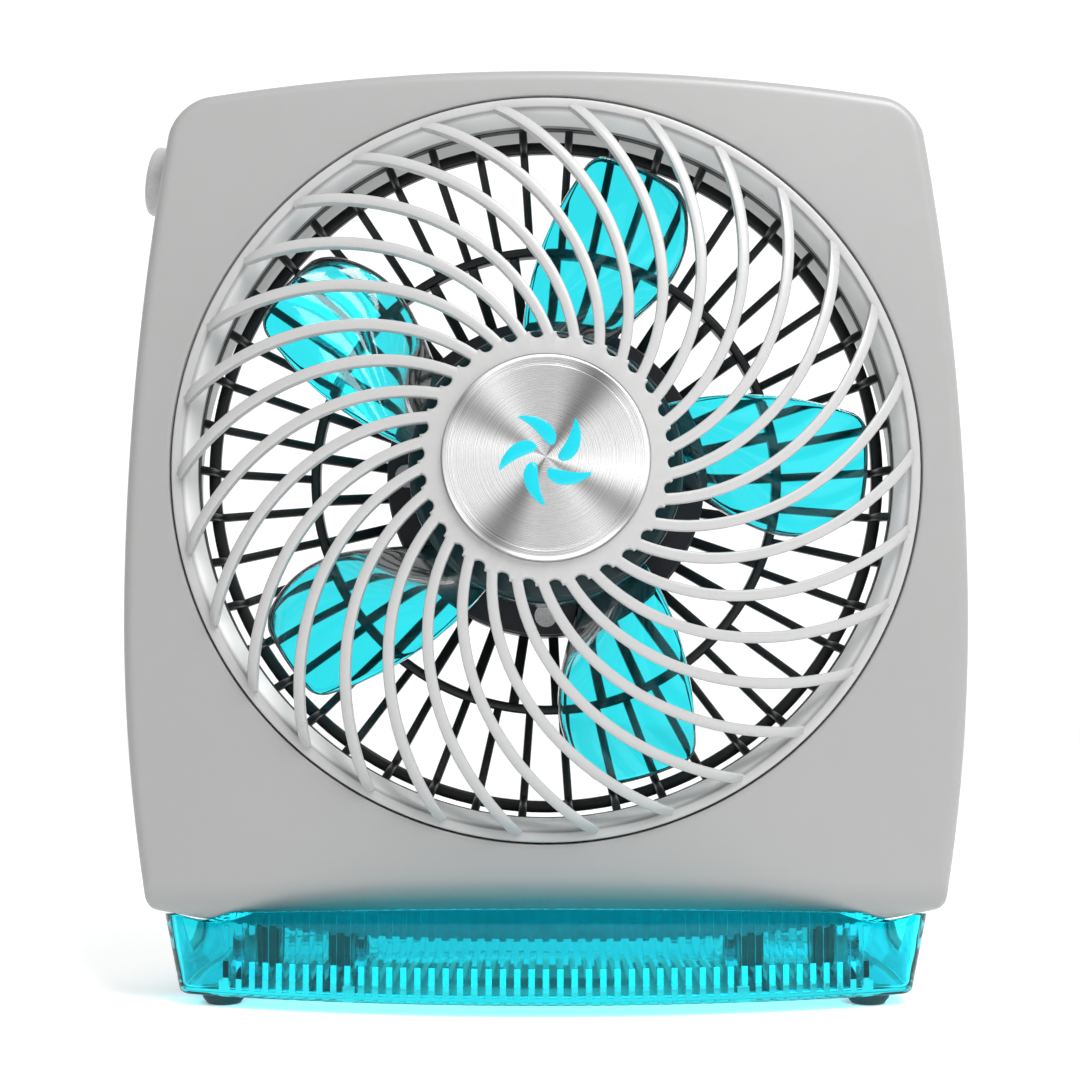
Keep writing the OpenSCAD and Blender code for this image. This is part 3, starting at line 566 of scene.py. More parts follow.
def buildRearShell():
    s = shell
    w = s["wall"]
    seam = s["seam"]
    loops = [headLoop(splitDepth, w, w), headLoop(splitDepth, seam, seam), headLoop(splitDepth + seam),
             headLoop(splitDepth + 0.9)]
    straightEnd = backDepth - s["backEdge"]
    for step in range(3):
        loops.append(headLoop(splitDepth + 2 + (straightEnd - splitDepth - 2) * step / 3))
    for step in range(8):
        turn = math.pi / 2 * step / 7
        loops.append(headLoop(straightEnd + s["backEdge"] * math.sin(turn),
                              s["backEdge"] * (1 - math.cos(turn))))
    loops.append(headLoop(backDepth, s["backEdge"] + 0.6))
    edge = s["mouthEdge"]
    for step in range(5):
        turn = math.pi / 2 * step / 4
        loops.append(circleLoop(ductR + edge * (1 - math.sin(turn)), backDepth - edge * (1 - math.cos(turn))))
    loops += [circleLoop(ductR, backDepth - s["mouthDepth"]), circleLoop(ductR, s["ductMiddle"]),
              circleLoop(ductR, ledgeBack + 0.1)]
    loops += [circleLoop(collarR, ledgeBack + 0.1), circleLoop(collarR, backDepth - w)]
    for depth in (backDepth - w, s["rearInside"]):
        loops.append(headLoop(depth, w, w))
    pile = Pile()
    pile.rows(loops, closeStack=True)
    return pile


frontShell = makePiece("frontShell", buildFrontShell(), "head", greyPlastic, ("front_housing",),
                       shell["sharp"])
rearShell = makePiece("rearShell", buildRearShell(), "head", greyPlastic, ("rear_housing",),
                      shell["sharp"])


# Slots for the hinge lugs in the belly, screw wells and the cord's hole in the back
wells = {"lugSpread": 7.35, "slotHalf": 2.55, "slotEnd": 1.0, "screwLow": 34.0, "screwLowIn": 14.0,
         "screwHighDown": 11.0, "screwHighIn": 33.0, "radius": 3.0, "depth": 2.4, "inletRadius": 3.9}
inletLow, inletHigh = nodeBox("cord_inlet")
lugSlots = []
for node in ("left_hinge_bracket", "right_hinge_bracket"):
    low, high = nodeBox(node)
    for offset in (-1, 1):
        x = (low[0] + high[0]) / 2 + offset * wells["lugSpread"]
        lugSlots.append(blockCutter((x - wells["slotHalf"], low[1] + wells["slotEnd"], low[2] - 3),
                                    (x + wells["slotHalf"], high[1] - wells["slotEnd"], high[2] - 3)))
combine(frontShell, lugSlots, "DIFFERENCE", shell["sharp"])
backY = faceY + backDepth
backWells = []
for side in (-1, 1):
    for z, x in ((wells["screwLow"], halfWidth - wells["screwLowIn"]),
                 (topZ - wells["screwHighDown"], halfWidth - wells["screwHighIn"])):
        backWells.append(rodCutter((side * x, backY - wells["depth"], z), (side * x, backY + 2, z),
                                   wells["radius"]))
inletX, inletZ = (inletLow[0] + inletHigh[0]) / 2, (inletLow[2] + inletHigh[2]) / 2
backWells.append(rodCutter((inletX, backY - 4, inletZ), (inletX, backY + 2, inletZ), wells["inletRadius"]))
combine(rearShell, backWells, "DIFFERENCE", shell["sharp"])
print("shells built")


# ---------- the front grille
grille = {
    "ringWidth": 1.9, "funnelWidth": 2.8, "ringDepth": 5.0, "vanes": 30, "vaneWidth": 2.2, "vaneThick": 3.4,
    "vaneTurn": 0.909, "firstVane": 4.1, "domeEdge": 73.9, "hubRadius": 23.8, "edge": 0.5, "fillet": 1.3}


def domeHeight(r):
    share = np.clip(1 - (np.asarray(r, float) / grille["domeEdge"]) ** 2, 0, 1)
    return domeRise * np.sqrt(share)


def buildGrille():
    g = grille
    pile = Pile()
    inner = ringR - g["ringWidth"]
    throat = inner - g["funnelWidth"]
    addRing(pile, [(throat, g["ringDepth"]), (ringR, g["ringDepth"]), (ringR, 0), (inner, 0)],
            [0.15, 0.2, 0.45, 0.35], segments=288)
    width, thick, e = g["vaneWidth"] / 2, g["vaneThick"], g["edge"]
    across = [(-width + 0.12, -thick), (-width, -e), (-width + e * 0.29, -e * 0.29), (-width + e, 0), (0, 0.03),
              (width - e, 0), (width - e * 0.29, -e * 0.29), (width, -e), (width - 0.12, -thick)]
    radii = np.concatenate([np.linspace(g["hubRadius"] - 1.2, 66, 22), np.linspace(67.5, inner + 0.5, 11)])
    for i in range(g["vanes"]):
        angle = (math.radians(g["firstVane"] + i * 360 / g["vanes"])
                 + np.radians((radii - g["hubRadius"]) * g["vaneTurn"]))
        lean = angle + np.arctan(radii * math.radians(g["vaneTurn"]))
        sections = []
        for s, k in across:
            px = radii * np.cos(angle) - s * np.sin(lean)
            pz = radii * np.sin(angle) + s * np.cos(lean)
            r = np.hypot(px, pz)
            h = domeHeight(r) + k
            sections.append(np.stack([px, faceY - h, hubZ + pz], 1))
        pile.rows(np.array(sections).transpose(1, 0, 2), capFirst=True, capLast=True)
    # The hub, with small fillets where each vane leaves it
    segments = g["vanes"] * 36
    phi = np.arange(segments) * 2 * math.pi / segments
    lean = math.atan(g["hubRadius"] * math.radians(g["vaneTurn"]))
    half = width / math.cos(lean) / g["hubRadius"]
    pitch = 2 * math.pi / g["vanes"]
    offset = (phi - math.radians(g["firstVane"]) + pitch / 2) % pitch - pitch / 2
    away = np.clip((np.abs(offset) - half) * g["hubRadius"], 0, g["fillet"])
    flare = g["fillet"] - np.sqrt(np.maximum(0, g["fillet"] ** 2 - (g["fillet"] - away) ** 2))
    pocket = badgeHigh[0] + 0.12
    floorHeight = faceY - badgeHigh[1]
    topHeight = float(domeHeight(pocket + 1.7))
    hub = g["hubRadius"]
    edgeHeight = float(domeHeight(hub))
    outline = [(0.8, floorHeight, 0), (pocket, floorHeight, 0), (pocket, topHeight - 0.1, 0),
               (pocket + 0.25, topHeight + 0.12, 0),
               (hub - 0.8, float(domeHeight(hub - 0.8)) + 0.03, 0.3),
               (hub - 0.25, float(domeHeight(hub - 0.5)) - 0.08, 0.8),
               (hub, edgeHeight - 0.45, 1), (hub, edgeHeight - thick + 0.4, 1),
               (hub - 0.3, edgeHeight - thick, 0.8), (0.8, edgeHeight - thick, 0)]
    grid = []
    for r, h, share in outline:
        rr = r + share * flare
        grid.append(np.stack([rr * np.cos(phi), np.full(segments, faceY - h), hubZ + rr * np.sin(phi)], 1))
    pile.rows(grid, closeStack=True)
    return pile


makePiece("swirlGrille", buildGrille(), "head", grillePlastic, ("front_grille",),
          sharp=32)
print("front grille built")


# ---------- the badge on the hub
badge = {"proud": 0.12, "edge": 0.3, "lineRadius": 18.2, "lineDepth": 0.12, "petals": 5, "petalStart": 2.4,
         "petalReach": 9.4, "petalWidth": 3.6, "petalLean": 0.9, "petalRise": 0.1}


def buildBadge():
    b = badge
    radius = badgeHigh[0]
    top = badgeLow[1] - faceY + b["proud"]
    back = badgeHigh[1] - faceY
    outline = [(0.05, back), (radius, back), (radius, top + b["edge"]),
               (radius - b["edge"] * 0.3, top + b["edge"] * 0.3 + 0.03),
               (radius - b["edge"], top + 0.02)]
    for r in np.linspace(radius - 0.8, b["lineRadius"] + 0.35, 3):
        outline.append((r, top))
    line = b["lineRadius"]
    outline += [(line + 0.2, top), (line + 0.12, top + b["lineDepth"]), (line - 0.12, top + b["lineDepth"]),
                (line - 0.2, top)]
    for r in np.linspace(line - 0.5, 0.05, 14):
        outline.append((r, top))
    pile = Pile()
    pile.rows(ring(outline, 240), closeStack=True)
    return pile


def buildWhorl():
    # Five leaning petals round an open middle, a plain sign for moving air
    b = badge
    pile = Pile()
    base = badgeLow[1] + b["proud"] + 0.03
    t = np.linspace(0, 1, 22)
    r = b["petalStart"] + (b["petalReach"] - b["petalStart"]) * t
    half = b["petalWidth"] / 2 * np.sin(np.pi * np.clip(t ** 0.8 * 0.94 + 0.03, 0, 1)) ** 0.75
    rise = b["petalRise"]
    for i in range(b["petals"]):
        mid = 2 * math.pi * i / b["petals"] + b["petalLean"] * t
        rows = []
        for s, lift in ((-1, 0), (-1, rise * 0.6), (-0.9, rise), (0.9, rise), (1, rise * 0.6), (1, 0)):
            px = r * np.cos(mid) - s * half * np.sin(mid)
            pz = r * np.sin(mid) + s * half * np.cos(mid)
            rows.append(np.stack([px, np.full(len(t), base - lift), hubZ + pz], 1))
        pile.rows(np.array(rows).transpose(1, 0, 2), capFirst=True, capLast=True)
    return pile


makePiece("hubBadge", buildBadge(), "head", badgeMetal, ("hub_badge",), sharp=40)
makePiece("badgeWhorl", buildWhorl(), "head", whorlPaint, sharp=40)
print("badge built")


# ---------- the black cage behind the blades
cage = {
    "outerRibs": 46, "innerRibs": 33, "ribWidth": 1.7, "innerRibWidth": 2.2, "ribThick": 2.2,
    "holeRadius": 71.05, "flangeThick": 2.5, "wallRadius": 69.2, "wallDepth": 17.0, "midDepth": 29.0,
    "midRadius": 49.6, "cupRadius": 34.0, "cupDepth": 38.0, "cupFront": 24.5, "cupBack": 40.5,
    "bossRadius": 3.2, "bossHole": 1.25, "bossAt": 29.6}


def ribPath(points, bend, steps=6):
    # A path through corner points in (radius, depth), with each inner corner bent smoothly
    points = [np.array(p, float) for p in points]
    path = [points[0]]
    for before, p, after in zip(points, points[1:-1], points[2:]):
        a, b = before - p, after - p
        reach = min(bend, np.linalg.norm(a) * 0.45, np.linalg.norm(b) * 0.45)
        start, end = p + a / np.linalg.norm(a) * reach, p + b / np.linalg.norm(b) * reach
        for s in range(steps + 1):
            t = s / steps
            path.append((1 - t) ** 2 * start + 2 * t * (1 - t) * p + t ** 2 * end)
    path.append(points[-1])
    return np.array(path)


def addSpokes(pile, count, path, outline):
    for i in range(count):
        angle = 2 * math.pi * i / count
        c, s = math.cos(angle), math.sin(angle)
        line = np.stack([path[:, 0] * c, faceY + path[:, 1], hubZ + path[:, 0] * s], 1)
        sideways = np.tile([-s, 0.0, c], (len(line), 1))
        pile.rows(bar(line, sideways, outline), capFirst=True, capLast=True)


def buildCage():
    g = cage
    pile = Pile()
    outer = cageHigh[0]
    front = cageLow[1] - faceY
    wall = g["wallRadius"]
    hole, back = g["holeRadius"], front + g["flangeThick"]
    addRing(pile, rectangle(hole, outer, front, back), 0.25)
    addRing(pile, rectangle(wall - 1, wall + 1.4, g["wallDepth"] - 1.2, g["wallDepth"] + 1), 0.5)
    mid = g["midRadius"]
    addRing(pile, rectangle(mid - 1, mid + 1, g["midDepth"] - 2, g["midDepth"] + 2), 0.6)
    cup = g["cupRadius"]
    cupFront, cupBack = g["cupFront"], g["cupBack"]
    addRing(pile, rectangle(cup - 2, cup, cupFront, cupBack), 0.4)
    addSpokes(pile, g["outerRibs"],
              ribPath([(hole + 0.8, back - 1.1), (wall + 0.6, back + 2.2), (wall, g["wallDepth"]),
                       (mid, g["midDepth"])], 4.0),
              boxOutline(g["ribWidth"], g["ribThick"] - 0.3, 0.45))
    addSpokes(pile, g["innerRibs"],
              ribPath([(mid, g["midDepth"]), (mid - 2.5, g["midDepth"] + 0.8), (cup - 1, g["cupDepth"])],
                      2.0, 4),
              boxOutline(g["innerRibWidth"], g["ribThick"], 0.5))
    # Four screw bosses inside the motor cup, each a tube
    for i in range(4):
        angle = math.pi / 2 * i + math.pi / 2
        cx, cz = g["bossAt"] * math.cos(angle), hubZ + g["bossAt"] * math.sin(angle)
        turn = np.arange(36) * 2 * math.pi / 36
        loops = [np.stack([cx + r * np.cos(turn), np.full(36, faceY + d), cz + r * np.sin(turn)], 1)
                 for r, d in softened(rectangle(g["bossHole"], g["bossRadius"], cupFront, cupBack), 0.3)]
        pile.rows(loops, closeStack=True)
    return pile


makePiece("rearCage", buildCage(), "head", blackPlastic, ("rear_grille",), sharp=32)


cover = {"slots": 12, "slotInner": 13.0, "slotOuter": 21.0, "slotRadius": 1.2, "screwHole": 1.4,
         "bearingRadius": 4.55, "bearingCap": 0.8, "edge": 0.8, "sharp": 32}
coverLow, coverHigh = nodeBox("motor_cover")


def buildMotorCover():
    pile = Pile()
    front, back = coverLow[1] - faceY, coverHigh[1] - faceY
    radius = coverHigh[0]
    addRing(pile, rectangle(0.05, radius, front, back), [0, 0.2, cover["edge"], 0])
    return pile


def coverHoles():
    # Long air slots with round ends, the screw holes and the bearing's seat
    holes = []
    start, end = coverLow[1] - 1, coverHigh[1] + 1
    turn = np.arange(24) * 2 * math.pi / 24
    for i in range(cover["slots"]):
        angle = 2 * math.pi * (i + 0.5) / cover["slots"]
        c, s = math.cos(angle), math.sin(angle)
        middle = np.where(np.cos(turn) > 0, cover["slotOuter"], cover["slotInner"])
        along = cover["slotRadius"] * np.cos(turn) + middle
        side = cover["slotRadius"] * np.sin(turn)
        px, pz = along * c - side * s, along * s + side * c
        pile = Pile()
        pile.rows([np.stack([px, np.full(24, y), hubZ + pz], 1) for y in (start, end)], capFirst=True,
                  capLast=True, flip=True)
        holes.append(plainBody(pile.points[0], pile.faces))
    for i in range(4):
        angle = math.pi / 2 * i
        x, z = cage["bossAt"] * math.cos(angle), hubZ + cage["bossAt"] * math.sin(angle)
        holes.append(rodCutter((x, start, z), (x, end, z), cover["screwHole"], 24))
    holes.append(rodCutter((0, start, hubZ), (0, coverHigh[1] - cover["bearingCap"], hubZ),
                           cover["bearingRadius"]))
    return holes


coverPiece = makePiece("motorCover", buildMotorCover(), "head", blackPlastic, ("motor_cover",),
                       cover["sharp"])
combine(coverPiece, coverHoles(), "DIFFERENCE", cover["sharp"])
print("cage built")


# ---------- the impeller
impeller = {
    "blades": 5, "firstBlade": 3.0, "hubRadius": 28.0, "hubFront": 2.0, "hubBack": 21.0, "hubWall": 2.0,
    "bossRadius": 5.0, "shaftHole": 1.55, "tipGap": 4.6, "bladeThick": 1.6, "tipCorner": 2.6,
    "rootFront": 5.0, "frontSlope": 1.5, "rootRear": 20.5, "rearSlope": 6.5, "camber": 1.4, "rows": 34,
    "columns": 22, "rootLead": -10.0, "leadBulge": 8.1, "rootTrail": 25.0, "trailSweep": 18.8}


def buildHub():
    g = impeller
    pile = Pile()
    r, f, b, w = g["hubRadius"], g["hubFront"], g["hubBack"], g["hubWall"]
    hole, boss = g["shaftHole"], g["bossRadius"]
    addRing(pile, [(hole, f), (r, f), (r, b), (r - w, b), (r - w, f + w), (boss, f + w), (boss, b - 3),
                   (hole, b - 3)],
            [0.2, 1.6, 0.4, 0.4, 0.8, 0.8, 0.3, 0.2], segments=180, steps=5)
    return pile


def buildBlades():
    g = impeller
    pile = Pile()
    tip = ringR - grille["ringWidth"] - grille["funnelWidth"] - g["tipGap"]
    root = g["hubRadius"] + 0.02
    reach = tip - root
    n, m = g["rows"], g["columns"]
    spans = np.sin(np.linspace(0, math.pi / 2, n)) ** 0.85
    share = (1 - np.cos(np.linspace(0, math.pi, m))) / 2
    for i in range(g["blades"]):
        phase = g["firstBlade"] + i * 360 / g["blades"]
        loops = []
        for s in spans:
            radius = root + reach * s
            left = (1 - s) * reach
            corner = g["tipCorner"]
            cut = corner - math.sqrt(max(0, corner ** 2 - (corner - left) ** 2)) if left < corner else 0
            cutAngle = math.degrees(cut / radius)
            lead = g["rootLead"] - g["leadBulge"] * (1 - (2.1 * s - 1.15) ** 2) + cutAngle
            trail = g["rootTrail"] - g["trailSweep"] * s - cutAngle
            full0, full1 = lead - cutAngle, trail + cutAngle
            angle = lead + (trail - lead) * share
            c = (angle - full0) / (full1 - full0)
            fromEdge = np.minimum(np.minimum((angle - lead), (trail - angle)) * math.radians(1) * radius,
                                  left + 0.02)
            half = g["bladeThick"] / 2
            thick = half * np.sqrt(np.clip(1 - (1 - np.minimum(fromEdge, half) / half) ** 2, 0, 1))
            thick = np.maximum(thick * (0.82 + 0.18 * np.sin(np.pi * c)), 0.03)
            frontDepth = g["rootFront"] + g["frontSlope"] * s
            rearDepth = g["rootRear"] - g["rearSlope"] * s
            d = rearDepth + (frontDepth - rearDepth) * c - g["camber"] * np.sin(np.pi * c)
            d = np.clip(d, g["hubFront"] + 0.9, g["hubBack"] - 0.9)
            a = np.radians(angle + phase)
            near = polarPoint(np.full(m, radius), a, d - thick)
            far = polarPoint(np.full(m, radius), a, d + thick)
            loops.append(np.concatenate([near, far[::-1]]))
        pile.rows(loops, capFirst=True, capLast=False)
        base = pile.count - 2 * m
        for j in range(m - 1):
            pile.faces.append((base + j, base + j + 1, base + 2 * m - 2 - j, base + 2 * m - 1 - j))
    return pile


makePiece("impellerBlades", buildBlades(), "rotor", bladeTeal, ("impeller",), sharp=40)
makePiece("impellerHub", buildHub(), "rotor", hubTeal, sharp=40)
print("impeller built")


# ---------- the clear base
tray = {
    "frontDepth": -8.8, "bowRadius": 178.0, "corner": 3.0, "lean": 4.4, "rimFall": 3.0, "sideRim": 9.5,
    "wall": 2.0, "floorZ": 3.5, "floorFillet": 1.0, "bottomEdge": 1.1, "rimEdge": 0.35, "ribPitch": 2.77,
    "ribWidth": 1.1, "ribHeight": 1.7, "gussetHeight": 5.6, "wallRib": 0.7, "wallRibDrop": 0.45,
    "rampStart": 47.0, "rampTop": 8.9, "rampRib": 0.4, "ribReach": 65.5, "postIn": 38.5, "postOut": 63.9,
    "postThick": 2.4, "postRadius": 3.0, "postFoot": 5.4, "headGap": 0.4, "sharp": 30}
footLow, footHigh = nodeBox("foot_pads")
trayBottom = baseLow[2]
trayTop = baseHigh[2]
trayFront = faceY + tray["frontDepth"]
trayBack = baseHigh[1]
trayHalf = baseHigh[0] + tray["lean"] * tray["rimFall"] / (baseHigh[2] - baseLow[2]) - 0.1
pinLow, pinHigh = nodeBox("hinge_pins")
pinY, pinZ = (pinLow[1] + pinHigh[1]) / 2, (pinLow[2] + pinHigh[2]) / 2


def bow(x):
    return tray["bowRadius"] - np.sqrt(tray["bowRadius"] ** 2 - np.asarray(x, float) ** 2)


trayRays = np.radians(np.arange(0, 360, 0.5))
trayMiddle = (trayFront + trayBack) / 2


def trayLoop(zOf, inset):
    # The tray's outline at the heights zOf (one for each ray), drawn in by an inset
    low, high = np.full(len(trayRays), 10.0), np.full(len(trayRays), 120.0)
    c, s = np.cos(trayRays), np.sin(trayRays)
    halfHere = trayHalf - tray["lean"] * (trayTop - zOf) / (trayTop - trayBottom)
    for _ in range(34):
        mid = (low + high) / 2
        x, y = mid * c, trayMiddle + mid * s
        span = np.clip(np.abs(x), 0, trayHalf + 20)
        front = y - trayFront - bow(span)
        back = trayBack - bow(span) / 2 - y
        inside = roundedMin(
            roundedMin(halfHere - np.abs(x), front, tray["corner"]), back, tray["corner"]) > inset
        low = np.where(inside, mid, low)
        high = np.where(inside, high, mid)
    return np.stack([low * c, trayMiddle + low * s, zOf + 0 * low], 1)


def rimHeight(points):
    # The front rim arches and stays clear of the head, and the side and back rims are low
    x, d = points[:, 0], points[:, 1] - faceY
    arch = trayTop - tray["rimFall"] * (x / trayHalf) ** 2
    start = -tray["frontDepth"] + 2
    share = np.clip((d - start) / 13, 0, 1)
    archEnd = trayTop - tray["rimFall"]
    drop = archEnd - (archEnd - tray["sideRim"]) * (3 * share ** 2 - 2 * share ** 3)
    z = np.where(d < start, arch, np.minimum(arch, drop))
    for i in range(len(z)):
        if 0.05 < d[i] < 40:
            z[i] = min(z[i], float(undersideHeight(np.array(x[i]), float(d[i]), 0.0)) - tray["headGap"])
    return np.maximum(z, tray["sideRim"])


def buildTray():
    t = tray
    count = len(trayRays)
    level = lambda z: np.full(count, float(z))
    outerBase = trayLoop(level(trayTop), 0)
    innerBase = trayLoop(level(trayTop), t["wall"])
    outerRim, innerRim = rimHeight(outerBase), rimHeight(innerBase)
    innerRim = np.minimum(innerRim, outerRim)
    e, be = t["rimEdge"], t["bottomEdge"]
    loops = []
    for step in range(5):
        turn = math.pi / 2 * step / 4
        loops.append(trayLoop(level(trayBottom + be * (1 - math.cos(turn))), be * (1 - math.sin(turn))))
    for share in (0.25, 0.5, 0.75):
        z = trayBottom + be + (outerRim - e - trayBottom - be) * share
        loops.append(trayLoop(z, 0))
    for step in range(4):
        turn = math.pi / 2 * step / 3
        loops.append(trayLoop(outerRim - e + e * math.sin(turn), e * (1 - math.cos(turn))))
    for step in range(4):
        turn = math.pi / 2 * step / 3
        loops.append(trayLoop(innerRim - e * (1 - math.cos(turn)), t["wall"] - e * (1 - math.sin(turn))))
    fillet = t["floorFillet"]
    loops.append(trayLoop((t["floorZ"] + fillet + innerRim - e) / 2, t["wall"]))
    for step in range(5):
        turn = math.pi / 2 * step / 4
        loops.append(trayLoop(level(t["floorZ"] + fillet * (1 - math.sin(turn))),
                              t["wall"] + fillet * (1 - math.cos(turn))))
    pile = Pile()
    pile.rows(loops, capFirst=True, capLast=True)
    return pile


def buildTrayFloor():
    # Fine ribs along the floor, taller where they meet the front wall, and a ribbed ramp behind
    t = tray
    reach = t["ribReach"]
    ribs = np.arange(-math.floor(reach / t["ribPitch"]), math.floor(reach / t["ribPitch"]) + 1) * t["ribPitch"]
    half = t["ribWidth"] / 2
    stations = [(-reach - 0.9, 0)]
    for x in ribs:
        stations += [(x - half - 0.08, 0), (x - half, 1), (x + half, 1), (x + half + 0.08, 0)]
    stations.append((reach + 0.9, 0))
    rows = []
    low = t["floorZ"] - 0.6
    for x, up in stations:
        start = t["frontDepth"] + float(bow(x)) + t["wall"] - 0.12
        end = trayBack - faceY - float(bow(x)) / 2 - t["wall"] + 0.12
        ribTop = t["floorZ"] + 0.06 + up * t["ribHeight"]
        gusset = t["floorZ"] + 0.06 + up * t["gussetHeight"]
        inner = start + 0.3 + up * t["wallRib"]
        rim = float(rimHeight(np.array([[x, faceY + inner, 0.0]]))[0]) - t["wallRibDrop"]
        wallTop = gusset + up * max(0, rim - gusset)
        profile = [(start, low), (start, wallTop), (inner, wallTop), (inner, gusset), (inner + 0.5, gusset),
                   (start + 6, ribTop), (t["rampStart"], ribTop),
                   (t["rampStart"] + 0.1, t["floorZ"] + 0.1 + up * t["rampRib"]),
                   (end, t["rampTop"] + up * t["rampRib"]), (end, low)]
        rows.append([(x, faceY + d, z) for d, z in profile])
    pile = Pile()
    pile.rows(np.array(rows), capFirst=True, capLast=True, flip=True)
    return pile


def buildPosts():
    t = tray
    pile = Pile()
    turns = np.linspace(0, math.pi, 13)
    for side in (-1, 1):
        for at in (t["postIn"], t["postOut"]):
            x = side * at
            start = t["frontDepth"] + float(bow(x)) + t["wall"] - 0.3
            end = trayBack - faceY - float(bow(x)) / 2 - t["wall"] + 0.3
            pinD = pinY - faceY
            r = t["postRadius"]
            foot = t["postFoot"]
            profile = [(start, t["floorZ"] - 0.8), (start, foot), (pinD - r - 1, foot)]
            profile += [(pinD - r * math.cos(a), pinZ + r * math.sin(a)) for a in turns]
            profile += [(pinD + r + 1, foot), (end, foot), (end, t["floorZ"] - 0.8)]
            loops = []
            for offset in (-t["postThick"] / 2, t["postThick"] / 2):
                loops.append([(x + offset, faceY + d, z) for d, z in profile])
            pile.rows(np.array(loops), capFirst=True, capLast=True, flip=True)
    return pile


trayPiece = makePiece("clearTray", buildTray(), "base", clearTeal, ("base_tray",), tray["sharp"])
inserts = [plainBody(np.concatenate(pile.points), pile.faces) for pile in (buildTrayFloor(), buildPosts())]
combine(trayPiece, inserts, "UNION", tray["sharp"])
print("base built")


# ---------- feet, button and its bezel
foot = {"radius": 4.4, "treadIn": 1.7, "bowlIn": 1.1, "bowlRise": 0.12, "rimIn": 0.15, "rimHeight": 1.35,
        "segments": 48}


def buildFeet():
    # Bowl-shaped rubber feet with a flat tread
    f = foot
    pile = Pile()
    radius, top = f["radius"], footHigh[2]
    across = footHigh[0] - radius
    turn = np.arange(f["segments"]) * 2 * math.pi / f["segments"]
    outline = softened([(0.05, 0), (radius - f["treadIn"], 0), (radius - f["bowlIn"], f["bowlRise"]),
                        (radius - f["rimIn"], f["rimHeight"]),
                        (radius, top), (0.05, top)], [0, 0.4, 0.5, 0.6, 0.1, 0], 4)
    for x in (-across, across):
        for y in (footLow[1] + radius, footHigh[1] - radius):
            loops = [np.stack([x + r * np.cos(turn), y + r * np.sin(turn), np.full(len(turn), z)], 1)
                     for r, z in outline]
            pile.rows(loops, closeStack=True)
    return pile


makePiece("rubberFeet", buildFeet(), "base", rubberSkin, ("foot_pads",), sharp=40)

button = {"radius": 7.3, "gap": 0.2, "dome": 0.9, "edge": 1.3, "stem": 1.9, "stemEnd": 10.3, "bezelOut": 1.3,
          "bezelEdge": 0.7, "bezelEnd": 8.5, "drop": 19.9, "depth": 17.0}
buttonLow, buttonHigh = nodeBox("speed_button")
bezelLow, bezelHigh = nodeBox("button_bezel")
pressAxis = np.array(next(j["axis"] for j in frame["joints"] if j["name"] == "button_press"), float)
buttonSide = np.array([0.0, 1.0, 0.0])
buttonUp = np.cross(pressAxis, buttonSide)
buttonHeight = topZ - button["drop"]
sideRadius = shell["upperSideRadius"]
buttonX = -(halfWidth - sideRadius + math.sqrt(sideRadius ** 2 - (buttonHeight - shell["widestHeight"]) ** 2))
buttonOrigin = np.array([buttonX, faceY + button["depth"], buttonHeight])


def addButtonRing(pile, outline, segments=96):
    # Turns an outline of (radius, depth into the wall) about the button's axis
    angle = np.arange(segments) * 2 * math.pi / segments
    loops = []
    for r, d in outline:
        loops.append(buttonOrigin + pressAxis * d + r
                     * (np.cos(angle)[:, None] * buttonSide + np.sin(angle)[:, None] * buttonUp))
    pile.rows(loops, closeStack=True)


def buildButton():
    b = button
    pile = Pile()
    reachOut = (buttonX - buttonLow[0]) / pressAxis[0]
    dome = [(0.05, -reachOut)] + [(r, -reachOut + b["dome"] * (r / b["radius"]) ** 2)
                                  for r in np.linspace(1, b["radius"] - b["edge"], 7)]
    edge = []
    cornerR = b["radius"] - b["edge"]
    cornerD = -reachOut + b["dome"] * (cornerR / b["radius"]) ** 2 + b["edge"]
    for step in range(1, 6):
        turn = math.pi / 2 * step / 5
        edge.append((cornerR + b["edge"] * math.sin(turn), cornerD - b["edge"] * math.cos(turn)))
    tail = [(b["radius"], 1.8), (b["radius"] - 0.2, 2.0), (b["stem"], 2.0), (b["stem"], b["stemEnd"]),
            (0.05, b["stemEnd"])]
    addButtonRing(pile, dome + edge + tail)
    return pile


def buildBezel():
    b = button
    pile = Pile()
    bore = b["radius"] + b["gap"]
    outside = (bezelHigh[1] - bezelLow[1]) / 2
    outline = softened([(bore, b["bezelEnd"]), (outside - 0.06, b["bezelEnd"]), (outside - 0.06, 0.0),
                        (outside - 1.0, -b["bezelOut"]), (bore, -b["bezelOut"])],
                       [0.2, 0.2, 0.25, b["bezelEdge"], 0.35], 4)
    addButtonRing(pile, outline)
    return pile


makePiece("sideButton", buildButton(), "button", buttonPlastic, ("speed_button",),
          sharp=35)
makePiece("buttonBezel", buildBezel(), "head", greyPlastic, ("button_bezel",), sharp=35)
bezelRadius = (bezelHigh[1] - bezelLow[1]) / 2
opening = rodCutter(buttonOrigin - pressAxis * 6, buttonOrigin + pressAxis * 12, bezelRadius + 0.05, 96)
combine(frontShell, [opening], "DIFFERENCE", shell["sharp"])
print("feet and button built")


